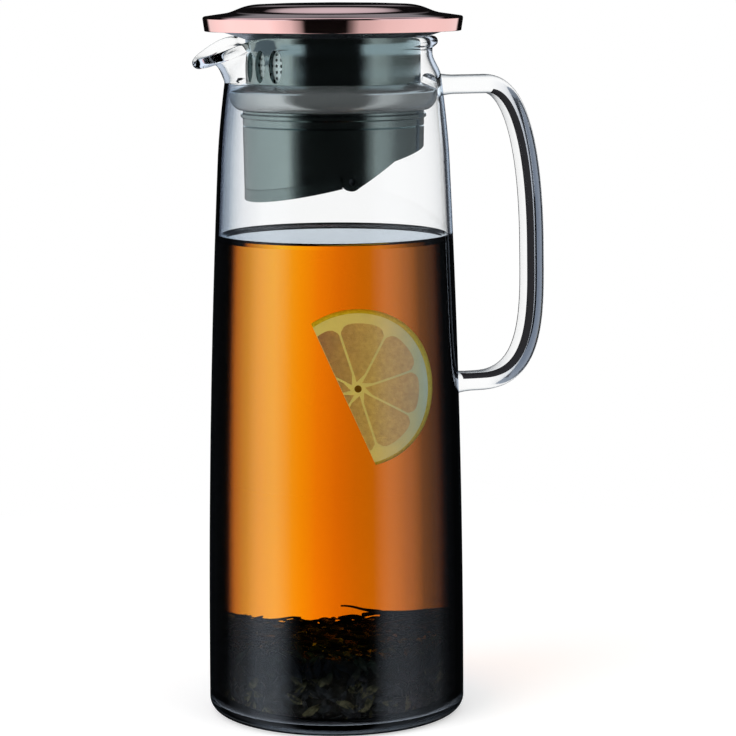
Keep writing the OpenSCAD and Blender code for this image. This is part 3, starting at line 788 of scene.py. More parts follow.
@dataclass
class Glassware:
    """The glass jug with its spout, and the strap handle fused to its wall."""

    form: JugForm = field(default_factory=JugForm)
    round_steps: int = 104
    spout_steps: int = 72
    strap_width: float = 14.0
    strap_thickness: float = 7.2
    grip_x: float = 80.99
    upper_drop: float = 18.7
    lower_z: float = 123.0
    pad_swell: float = 0.35
    pad_length: float = 9.0
    squareness: float = 2.6
    around: int = 32
    # Sides of the strap along which black strips of painted shade run, and how far before the grip they
    # begin.
    painted_dark_corners: tuple = ((18, 21), (26, 29))
    corner_start: float = 19.0
    grip_share: float = 0.457
    elbow_back: float = 21.0
    heel_back: float = 23.0

    def jug(self) -> bpy.types.Object:
        """Builds the jug: sections turned about the axis, closer together at the spout."""
        half = self.form.spout_half
        angles = spread(-half, half, self.spout_steps) + spread(half, 360 - half, self.round_steps)[1:-1]
        points = []
        for a in angles:
            turn = math.radians(a)
            for r, z in self.form.section(a - 360 if a > 180 else a):
                points.append((-r * math.cos(turn) * MM, -r * math.sin(turn) * MM, z * MM))
        count = len(points) // len(angles)
        piece = make_piece("jug_glass", points, grid_faces(len(angles), count, True, False), None)
        # These finishes paint shade on the glass: dark edges on the wall and rim, a shaded and a lit side
        # above the tea, and a nearly black foot and floor. The wet and inner glass stay clear.
        dress(piece, ClearGlass("jug_clear_glass", TEA_WALL_PAINTED_EDGES).make(),
              ClearGlass("jug_rim_glass", RIM_EDGES, bend=1.1).make(),
              ClearGlass("jug_wet_glass", wet=True).make(),
              ClearGlass("jug_dry_glass", SHADED_EDGES, LIT_EDGES, bend=1.3).make(),
              ClearGlass("jug_inner_glass", bend=1.3).make(),
              ClearGlass("jug_foot_glass", FOOT_PAINTED_DARK, bend=1.3).make(),
              ClearGlass("jug_floor_glass", FOOT_PAINTED_DARK, wet=True).make())
        for face in piece.data.polygons:
            r, z = math.hypot(face.center.x, face.center.y) / MM, face.center.z / MM
            inward = z > self.form.floor_z - 0.3 and r < self.form.inner(z) + 0.5 * self.form.wall
            if z > self.form.neck_z:
                face.material_index = 1
            elif z > TEA_Z:
                face.material_index = 4 if inward else 3
            elif inward:
                face.material_index = 2 if z > self.form.floor_z + 0.7 * self.form.foot_round else 6
            elif z < self.form.foot_round:
                face.material_index = 5
        return piece

    def line(self) -> np.ndarray:
        """Centre line of the handle, from its upper arm round the grip to its lower arm."""
        upper = self.form.rim_z - self.upper_drop
        grip_z = self.lower_z + self.grip_share * (upper - self.lower_z)
        sunk = self.form.wall / 2
        top_x, low_x = self.form.outer(upper) - sunk, self.form.outer(self.lower_z) - sunk
        elbow, heel = self.grip_x - self.elbow_back, self.grip_x - self.heel_back

        def curve(corners: Sequence[Point2], steps: Sequence[float]) -> list[np.ndarray]:
            """Points of a cubic curve."""
            a, b, c, d = (np.array(p, float) for p in corners)
            return [(1 - t) ** 3 * a + 3 * (1 - t) ** 2 * t * b + 3 * (1 - t) * t * t * c + t ** 3 * d
                    for t in steps]

        points = [np.array([x, upper]) for x in spread(top_x, elbow, 14)[:-1]]
        points += curve([(elbow, upper), (self.grip_x - 7, upper + 1.2),
                         (self.grip_x - 0.5, grip_z + 0.6 * (upper - grip_z)), (self.grip_x, grip_z)],
                        spread(0, 1, 36)[:-1])
        points += curve([(self.grip_x, grip_z), (self.grip_x + 0.3, grip_z - 0.48 * (grip_z - self.lower_z)),
                         (self.grip_x + 2, self.lower_z - 0.5), (heel, self.lower_z)], spread(0, 1, 40)[:-1])
        points += [np.array([x, self.lower_z]) for x in spread(heel, low_x, 10)]
        return np.array(points)

    def handle(self) -> bpy.types.Object:
        """Builds the handle: a squarish strap that follows its line and swells into the wall, with painted
        shade in black strips along two corners of the grip.
        """
        line = self.line()
        last = len(line) - 1
        points = []
        for i, centre in enumerate(line):
            along = line[min(i + 1, last)] - line[max(i - 1, 0)]
            along = along / np.linalg.norm(along)
            gap = min(np.linalg.norm(centre - line[0]), np.linalg.norm(centre - line[last]))
            swell = 1 + self.pad_swell * max(0.0, 1 - gap / self.pad_length) ** 2
            for s in range(self.around):
                turn = 2 * math.pi * s / self.around
                c, n = math.cos(turn), math.sin(turn)
                across = swell * self.strap_width / 2 * math.copysign(abs(c) ** (2 / self.squareness), c)
                out = swell * self.strap_thickness / 2 * math.copysign(abs(n) ** (2 / self.squareness), n)
                points.append(((centre[0] - along[1] * out) * MM, across * MM,
                               (centre[1] + along[0] * out) * MM))
        piece = make_piece("strap_handle", points, bar_faces(len(line), self.around), 50)
        # The first finish paints grey-blue and dark strips by the angle of view, as painted reflection and
        # painted shade. The second paints the corner strips black, as painted shade with its glare taken off.
        dress(piece, ClearGlass("handle_clear_glass", ARM_EDGES, GRIP_EDGES, (60.0, 74.0), bend=1.25).make(),
              ClearGlass("handle_painted_shade_glass", ((0.0, (0.0008, 0.0008, 0.001)), (1.0, BLACK)), bend=1.25,
                         wet=True).make())
        # Painted shade: faces along two corners, from the upper bend to near the lower end, take the black
        # finish.
        first = next(i for i, p in enumerate(line) if p[0] > self.grip_x - self.corner_start)
        for number, face in enumerate(piece.data.polygons):
            row, side = divmod(number, self.around)
            if first <= row < last - 3 and any(low <= side <= high for low, high in self.painted_dark_corners):
                face.material_index = 1
        return piece

    def build(self) -> None:
        """Builds and dresses the glass."""
        settle(self.jug(), Body.JUG, ["glass_jug"])
        settle(self.handle(), Body.JUG, ["glass_handle"])


@dataclass
class Contents:
    """Tea with a lemon slice over a bed of wet leaves, all resting in the jug."""

    form: JugForm = field(default_factory=JugForm)
    tea_lap: float = 0.1
    round_steps: int = 144
    bed_steps: int = 160
    bed_z: float = 28.0
    bed_gap: float = 0.9
    seed: int = 7
    twig_radius: float = 0.8
    # Painted shade: leaves higher in the bed are painted darker and bluer between these heights.
    leaf_painted_shade_range: Point2 = (15.0, 24.0)
    leaf_painted_shade_colour: Colour = (0.05, 0.10, 0.16)
    dark_density: float = 90000.0
    olive_density: float = 30000.0
    twig_steps: int = 12
    twig_sides: int = 8

    @property
    def leaf_painted_shade(self) -> dict[str, object]:
        """Painted shade: how the leaves are painted darker and bluer with their height in the bed, as
        PlantMatter takes it.
        """
        return {"fade": self.leaf_painted_shade_range, "painted_shade_tint": self.leaf_painted_shade_colour}

    def tea(self) -> bpy.types.Object:
        """Builds the body of tea, with its raised edge against the glass."""
        top = self.form.cove_top
        rise_z = TEA_Z + MENISCUS
        low = self.form.floor_z - self.tea_lap
        line: list[Point2] = [(0.0, low)]
        line += arc(self.form.inner(top) - self.form.cove, top, self.form.cove + self.tea_lap, -90, -6, 12)
        line += [(self.form.inner(z, -self.tea_lap), z) for z in spread(top, rise_z, 40)]
        edge = self.form.inner(rise_z, -self.tea_lap)
        line += [(edge - 3.0 * t, TEA_Z + MENISCUS * (1 - t) ** 3) for t in spread(0, 1, 10)[1:]]
        line += [(edge * f, TEA_Z) for f in (0.7, 0.4)] + [(0.0, TEA_Z)]
        piece = turned_piece("tea", line, False, self.round_steps, 40)
        finish = BrewedTea()
        dress(piece, finish.make(), finish.make_top())
        edge_m = (edge - 0.02) * MM
        for face in piece.data.polygons:
            centre = face.center
            if centre.z > TEA_Z * MM - 1e-5 and math.hypot(centre.x, centre.y) < edge_m:
                face.material_index = 1
        return settle(piece, Body.JUG)

    def bed(self) -> bpy.types.Object:
        """Builds the dark packed heap of leaves that the loose leaves lie on."""
        rings: list[Point2] = [(0.0, self.form.floor_z + 0.4)]
        low = self.form.floor_z + 0.8
        for z in spread(low, self.bed_z - 3, 22):
            rings.append((self.form.inner(z, self.bed_gap + 0.6), z))
        edge = self.form.inner(self.bed_z, self.bed_gap + 0.6)
        rings += [(edge - 2.5 * (1 - math.cos(t)), self.bed_z - 3 + 3 * math.sin(t))
                  for t in spread(0.3, 1.57, 4)]
        rings += [(edge * f, self.bed_z) for f in spread(0.9, 0.0, 14)]
        points, faces = turned(rings, False, self.bed_steps)
        moved = []
        for p in points:
            r = math.hypot(p[0], p[1])
            lump = noise.fractal(Vector(p) * 190, 0.9, 2.1, 4)
            top = share(p[2] / MM, self.bed_z - 6, self.bed_z)
            inward = 1 - 0.03 * abs(lump) * (1 - top) if r > 1e-6 else 1.0
            hill = 1.2 * lump + 3.0 * noise.noise(Vector((p[0], p[1], 0.3)) * 45)
            moved.append((p[0] * inward, p[1] * inward, p[2] + top * hill * MM))
        piece = make_piece("leaf_bed", moved, faces, None)
        finish = PlantMatter("wet_leaf_mass", (0.004, 0.005, 0.007), (0.024, 0.028, 0.036), 0.0025,
                             3.0, 0.35, 0.8, **self.leaf_painted_shade)
        return settle(dress(piece, finish.make()), Body.JUG)

    def leaf(self) -> bpy.types.Object:
        """Builds one curled leaf of a few dozen faces, for scattering."""
        points, faces = [], []
        long, wide = 6, 3
        for i in range(long + 1):
            t = i / long
            width = 1.5 * math.sin(math.pi * min(0.96, max(0.05, t))) ** 0.8
            for j in range(wide + 1):
                s = j / wide * 2 - 1
                curl = 1.2 * s * s
                points.append(((t - 0.5) * 8.0 * MM, s * width * MM,
                               (curl * width * 0.6 + 1.3 * math.sin(2.4 * t)) * MM))
        faces = grid_faces(long + 1, wide + 1, False, False)
        mesh = bpy.data.meshes.new("leaf_pattern")
        mesh.from_pydata(points, [], faces)
        shade(mesh, None)
        return new_object("leaf_pattern", mesh)

    def scatter_tree(self) -> bpy.types.GeometryNodeTree:
        """Builds the tree that lays leaves at random over a heap."""
        graph, ins = start_tree("scatter_leaves", {
            "Heap": "Geometry", "Leaf": "Object", "Density": "Float", "Seed": "Int", "Smallest": "Float",
            "Largest": "Float", "Finish": "Material"}, "Leaves")
        dots = graph.add("GeometryNodeDistributePointsOnFaces",
                         {"Mesh": ins["Heap"], "Density": ins["Density"], "Seed": ins["Seed"]},
                         distribute_method="RANDOM")
        leaf = graph.add("GeometryNodeObjectInfo", {"Object": ins["Leaf"]}).outputs["Geometry"]
        tilt = graph.add("FunctionNodeRandomValue", {"Seed": ins["Seed"]}, data_type="FLOAT_VECTOR")
        tilt.inputs[0].default_value = (-0.5, -0.5, 0.0)
        tilt.inputs[1].default_value = (0.5, 0.5, 6.28)
        size = graph.add("FunctionNodeRandomValue",
                         {2: ins["Smallest"], 3: ins["Largest"], "Seed": ins["Seed"]}, data_type="FLOAT")
        spin = graph.add("FunctionNodeEulerToRotation", {0: tilt.outputs[0]})
        turn = graph.add("FunctionNodeRotateRotation", {0: dots.outputs["Rotation"], 1: spin.outputs[0]})
        turn.rotation_space = "LOCAL"
        return lay_copies(graph, ins, dots.outputs["Points"], leaf, turn.outputs[0], size.outputs[1])

    def loose_leaves(self, bed: bpy.types.Object, name: str, finish: bpy.types.Material, density: float,
                     smallest: float, largest: float, seed: int) -> bpy.types.Object:
        """Scatters loose leaves over the heap and keeps them inside the glass.

        Args:
            bed: the heap.
            name: the new piece's name.
            finish: the leaves' material.
            density: leaves per square metre.
            smallest: least size, as a share of the pattern.
            largest: greatest size, as a share of the pattern.
            seed: seed of the scatter.

        Returns:
            The piece, as one plain mesh.
        """
        pattern = self.leaf()
        carrier = new_object(name + "_carrier", bed.data)
        values = {"Leaf": pattern, "Density": density, "Seed": seed, "Smallest": smallest,
                  "Largest": largest, "Finish": finish}
        made = run_tree(carrier, self.scatter_tree(), values, name)
        bpy.data.objects.remove(carrier)
        bpy.data.objects.remove(pattern)
        spots = np.zeros(len(made.data.vertices) * 3)
        made.data.vertices.foreach_get("co", spots)
        spots = spots.reshape(-1, 3)
        spots[:, 2] = np.maximum(spots[:, 2], (self.form.floor_z + 0.5) * MM)
        reach = np.hypot(spots[:, 0], spots[:, 1])
        limit = np.array([self.form.inner(z / MM, 0.35) * MM for z in spots[:, 2]])
        pull = np.minimum(1.0, limit / np.maximum(reach, 1e-9))
        spots[:, 0] *= pull
        spots[:, 1] *= pull
        made.data.vertices.foreach_set("co", spots.ravel())
        shade(made.data, None)
        return settle(dress(made, finish), Body.JUG)

    def twigs(self, finish: bpy.types.Material) -> None:
        """Lays a few bent stalks over the heap, each by its ends: right of the camera, back and height."""
        right, back, up = camera_axes()
        ends = (((13.0, 30.0, 32.0), (1.0, 32.0, 36.0)), ((6.0, 28.0, 33.0), (25.0, 30.0, 33.0)),
                ((22.0, 26.0, 32.5), (35.0, 20.0, 30.5)), ((12.0, 33.0, 31.5), (24.0, 30.0, 32.0)),
                ((-20.0, 30.0, 28.5), (-8.0, 34.0, 31.0)))
        for number, (start, end) in enumerate(ends):
            start_at, end_at = np.array(start), np.array(end)
            rings = []
            for t in spread(0.0, 1.0, self.twig_steps):
                across, depth, z = start_at + (end_at - start_at) * t
                bent_z = z + 0.8 * math.sin(math.pi * t) + 0.3 * math.sin(9 * t)
                middle = right * across + back * depth + up * bent_z
                thick = self.twig_radius * (1.1 - 0.7 * t)
                rings += [middle + thick * (math.cos(s) * back + math.sin(s) * up)
                          for s in np.arange(self.twig_sides) * 2 * math.pi / self.twig_sides]
            faces = bar_faces(self.twig_steps + 1, self.twig_sides)
            twig = make_piece("leaf_stalk_%d" % (number + 1), np.array(rings) * MM, faces, None)
            settle(dress(twig, finish), Body.JUG)

    def build(self) -> None:
        """Builds and dresses the tea, the leaves and the lemon."""
        self.tea()
        bed = self.bed()
        dark = PlantMatter("black_tea_leaf", (0.006, 0.008, 0.011), (0.036, 0.044, 0.056), 0.002,
                           3.0, 0.3, 0.5, **self.leaf_painted_shade).make()
        pale = PlantMatter("olive_tea_leaf", (0.024, 0.028, 0.020), (0.120, 0.125, 0.080), 0.002,
                           3.0, 0.4, 0.5, **self.leaf_painted_shade).make()
        self.twigs(dark)
        self.loose_leaves(bed, "dark_leaves", dark, self.dark_density, 0.45, 1.05, self.seed)
        self.loose_leaves(bed, "olive_leaves", pale, self.olive_density, 0.4, 1.1, self.seed + 5)
        LemonSlice(self.form).build()


def start_tree(name: str, inputs: dict[str, str], result: str) -> tuple[Graph, object]:
    """Makes an empty Geometry Nodes tree.

    Args:
        name: the tree's name.
        inputs: its inputs, each with the kind of its socket.
        result: the name of its one output, a geometry.

    Returns:
        The graph inside the tree, and its input sockets.
    """
    tree = bpy.data.node_groups.new(name, "GeometryNodeTree")
    for label, kind in inputs.items():
        tree.interface.new_socket(name=label, in_out="INPUT", socket_type="NodeSocket" + kind)
    tree.interface.new_socket(name=result, in_out="OUTPUT", socket_type="NodeSocketGeometry")
    graph = Graph(tree)
    return graph, graph.add("NodeGroupInput").outputs


def lay_copies(graph: Graph, ins: object, points: object, pattern: object, rotation: object,
               scale: object) -> bpy.types.GeometryNodeTree:
    """Ends a tree: sets copies on points, makes them real and gives them the Finish input.

    Args:
        graph: the graph inside the tree.
        ins: the tree's input sockets.
        points: where the copies go.
        pattern: the geometry that is copied.
        rotation: how each copy is turned.
        scale: the size of each copy.

    Returns:
        The tree.
    """
    laid = graph.add("GeometryNodeInstanceOnPoints", {"Points": points, "Instance": pattern,
                                                      "Rotation": rotation, "Scale": scale})
    real = graph.add("GeometryNodeRealizeInstances", {0: laid.outputs[0]})
    dressed = graph.add("GeometryNodeSetMaterial", {"Geometry": real.outputs[0], "Material": ins["Finish"]})
    graph.put(graph.add("NodeGroupOutput"), 0, dressed.outputs[0])
    return graph.tree


def run_tree(carrier: bpy.types.Object, tree: bpy.types.GeometryNodeTree, values: dict[str, object],
             name: str) -> bpy.types.Object:
    """Runs a Geometry Nodes tree on an object and keeps the result as a plain mesh.

    Args:
        carrier: the object whose mesh goes into the tree.
        tree: the tree.
        values: the tree's inputs by name.
        name: the new piece's name.

    Returns:
        A new object with the tree's result as its mesh.
    """
    modifier = carrier.modifiers.new("tree", "NODES")
    modifier.node_group = tree
    for item in tree.interface.items_tree:
        if item.item_type == "SOCKET" and item.in_out == "INPUT" and item.name in values:
            modifier[item.identifier] = values[item.name]
    graph = bpy.context.evaluated_depsgraph_get()
    graph.update()
    mesh = bpy.data.meshes.new_from_object(carrier.evaluated_get(graph))
    mesh.name = name
    carrier.modifiers.remove(modifier)
    return new_object(name, mesh)


@dataclass
class LemonSlice:
    """A little over half a slice of lemon, standing in the tea near the front of the glass."""

    form: JugForm
    centre_across: float = 7.6
    centre_front: float = 25.0
    centre_z: float = 127.5
    radius: float = 28.5
    squash: float = 0.925
    skin: float = 1.1
    pulp_radius: float = 24.4
    core_radius: float = 1.3
    core_hole: float = 1.3
    thickness: float = 5.0
    segments: int = 8
    first_segment: float = 85.0
    membrane: float = 0.42
    cut_angle: float = -66.5
    cut_offset: float = 5.6
    around: int = 120

    def to_frame(self, points: np.ndarray) -> np.ndarray:
        """Carries points from the slice's own plane into the frame of the part."""
        right, back, up = camera_axes()
        centre = right * self.centre_across - back * self.centre_front + up * self.centre_z
        across, height, depth = points[:, 0] * self.squash, points[:, 1], points[:, 2]
        return (centre + np.outer(across, right) + np.outer(height, up) - np.outer(depth, back)) * MM

    def wedge(self) -> bpy.types.Object:
        """Builds the pattern of one pulp segment, with rounded corners and a domed face."""
        half = math.pi / self.segments
        layers = [(0.0, 0.5), (0.25, 0.85), (0.6, 1.0)]
        outline = []
        reach = self.pulp_radius
        inner = self.core_radius + 1.4
        for t in spread(-1, 1, 12):
            a = t * (half - self.membrane / reach) * 0.97
            bulge = 1 - 0.10 * abs(t) ** 6
            outline.append((reach * bulge * math.cos(a), reach * bulge * math.sin(a)))
        for f in spread(0.85, 0.0, 6):
            r = inner + (reach - inner) * f
            a = half - self.membrane / max(r, 4.0)
            outline.append((r * math.cos(a), r * math.sin(a)))
        for f in spread(0.0, 0.85, 6)[1:]:
            r = inner + (reach - inner) * f
            a = half - self.membrane / max(r, 4.0)
            outline.append((r * math.cos(a), -r * math.sin(a)))
        centre = np.mean(outline, axis=0)
        rows = []
        for side in (-1, 1):
            chosen = layers if side < 0 else layers[::-1]
            for inset, depth in chosen:
                shrink = 0.55 + 0.45 * math.sqrt(inset / 0.6) if inset < 0.6 else 1.0
                half_t = self.thickness / 2 + 0.35 - 0.35 * (depth - 0.5)
                rows.append([(centre[0] + (x - centre[0]) * shrink, centre[1] + (y - centre[1]) * shrink,
                              side * half_t) for x, y in outline])
        count = len(outline)
        points = [p for row in rows for p in row]
        faces = grid_faces(len(rows), count, False, True)
        domed = self.thickness / 2 + 0.4
        points += [(centre[0], centre[1], -domed), (centre[0], centre[1], domed)]
        low, high = len(points) - 2, len(points) - 1
        last = (len(rows) - 1) * count
        faces += [[low, (j + 1) % count, j] for j in range(count)]
        faces += [[high, last + j, last + (j + 1) % count] for j in range(count)]
        return make_piece("pulp_pattern", points, faces, None)

    def fan_tree(self) -> bpy.types.GeometryNodeTree:
        """Builds the tree that sets segments round the core at an even step."""
        graph, ins = start_tree("fan_of_segments", {
            "Segment": "Geometry", "Count": "Int", "First Angle": "Float", "Finish": "Material"}, "Fan")
        places = graph.add("GeometryNodePoints", {"Count": ins["Count"]}).outputs[0]
        number = graph.add("GeometryNodeInputIndex").outputs[0]
        step = graph.math("DIVIDE", 2 * math.pi, ins["Count"])
        turn = graph.math("ADD", graph.math("MULTIPLY", number, step), ins["First Angle"])
        lean = graph.add("ShaderNodeCombineXYZ", {"Z": turn})
        spin = graph.add("FunctionNodeEulerToRotation", {0: lean.outputs[0]}).outputs[0]
        size = graph.add("FunctionNodeRandomValue", {2: 0.95, 3: 1.0}, data_type="FLOAT").outputs[1]
        return lay_copies(graph, ins, places, ins["Segment"], spin, size)

    def trim(self, piece: bpy.types.Object, wobble: float = 0.0) -> None:
        """Cuts a piece along the slice's straight edge, closes the cut and carries it into the frame."""
        turn = math.radians(self.cut_angle)
        away = Vector((-math.sin(turn), math.cos(turn), 0.0))
        if away.x > 0:
            away = -away
        work = bmesh.new()
        work.from_mesh(piece.data)
        cut = bmesh.ops.bisect_plane(work, geom=work.verts[:] + work.edges[:] + work.faces[:],
                                     plane_co=away * (self.cut_offset + wobble), plane_no=away,
                                     clear_outer=True)
        edges = [e for e in cut["geom_cut"] if isinstance(e, bmesh.types.BMEdge)]
        bmesh.ops.holes_fill(work, edges=edges, sides=0)
        bmesh.ops.recalc_face_normals(work, faces=work.faces)
        work.to_mesh(piece.data)
        work.free()
        spots = np.array([v.co for v in piece.data.vertices], float)
        piece.data.vertices.foreach_set("co", self.to_frame(spots).ravel())
        shade(piece.data, 40)

    def flesh(self) -> bpy.types.Object:
        """Builds the pale disc of pith with its skin round the edge."""
        half = self.thickness / 2
        line = rounded([(0.0, half, 0), (self.radius, half, 1.2), (self.radius + 0.1, 0, 3),
                        (self.radius, -half, 1.2), (0.0, -half, 0)], 5)
        rings = (self.core_hole, 6.0, 14.0, self.radius - self.skin)
        upper, lower = [(r, half) for r in rings], [(r, -half) for r in rings[::-1]]
        profile = [line[0], *upper, *line[1:-1], *lower, line[-1]]
        angles = np.arange(self.around) * 2 * math.pi / self.around
        points = [(r * math.cos(a), r * math.sin(a) * 1.02, z) for a in angles for r, z in profile]
        piece = make_piece("lemon_pith", points, grid_faces(self.around, len(profile), True, False), 40)
        self.trim(piece)
        rind = PlantMatter("lemon_skin", (0.62, 0.62, 0.10), (0.82, 0.84, 0.20), 0.0012, 2.0, 0.35,
                           0.5).make()
        # Painted light and shade: the pith glows a faint blue, and is painted darker and bluer toward one
        # side of the slice.
        pith = PlantMatter("lemon_pith", (0.80, 0.86, 0.58), (0.92, 0.96, 0.72), 0.004, 1.5, 0.5,
                           painted_glow=(0.03, 0.07, 0.17), fade_axis="X", fade=(6.0, 24.0),
                           painted_shade_tint=(0.55, 0.78, 0.95)).make()
        core = PlantMatter("lemon_core", (0.12, 0.07, 0.02), (0.24, 0.15, 0.04), 0.001, 2.0, 0.5).make()
        dress(piece, pith, rind, core)
        centre = Vector(self.to_frame(np.array([[0.0, 0.0, 0.0]]))[0])
        back = Vector(camera_axes()[1])
        for face in piece.data.polygons:
            away = face.center - centre
            away -= back * away.dot(back)
            outward = math.hypot(away.z, away.xy.length / self.squash)
            if outward > (self.radius - self.skin) * MM:
                face.material_index = 1
            elif outward < self.core_hole * MM:
                face.material_index = 2
        return settle(piece, Body.JUG)

    def pulp(self) -> bpy.types.Object:
        """Builds the pulp segments as a fan about the core."""
        # Painted light and shade: the pulp glows a faint blue, and is painted darker and more orange toward
        # one side of the slice.
        finish = PlantMatter("lemon_pulp", (0.62, 0.55, 0.30), (0.84, 0.80, 0.52), 0.0016, 2.2, 0.25, 0.6,
                             painted_glow=(0.02, 0.03, 0.10), fade_axis="X", fade=(3.0, -16.0),
                             painted_shade_tint=(0.55, 0.30, 0.10)).make()
        pattern = self.wedge()
        values = {"Count": self.segments, "Finish": finish, "First Angle": math.radians(self.first_segment)}
        piece = run_tree(pattern, self.fan_tree(), values, "lemon_pulp")
        bpy.data.objects.remove(pattern)
        self.trim(piece, -0.15)
        return settle(dress(piece, finish), Body.JUG)

    def build(self) -> None:
        """Builds the slice."""
        self.flesh()
        self.pulp()


def refined_copy(node: str, name: str, bevel: float = 0.0, sharp: float = 30.0) -> bpy.types.Object:
    """Copies a CAD node's shape into a smooth piece with slightly rounded edges.

    Args:
        node: the CAD node.
        name: the new piece's name.
        bevel: rounding of the sharp edges, in millimetres.
        sharp: edges that turn more than this many degrees stay sharp.

    Returns:
        The new piece, at the origin.
    """
    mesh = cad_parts[node].data.copy()
    mesh.name = name
    work = bmesh.new()
    work.from_mesh(mesh)
    bmesh.ops.remove_doubles(work, verts=work.verts, dist=CAD_WELD)
    bmesh.ops.dissolve_limit(work, angle_limit=FLAT_ANGLE, verts=work.verts, edges=work.edges)
    work.to_mesh(mesh)
    work.free()
    if mesh.has_custom_normals:
        mesh.attributes.remove(mesh.attributes["custom_normal"])
    shade(mesh, sharp)
    piece = new_object(name, mesh)
    if bevel > 0:
        rounding = piece.modifiers.new("edge_rounding", "BEVEL")
        rounding.width = bevel * MM
        rounding.segments = 2
        rounding.limit_method = "ANGLE"
        rounding.angle_limit = math.radians(sharp)
        rounding.harden_normals = True
    return piece


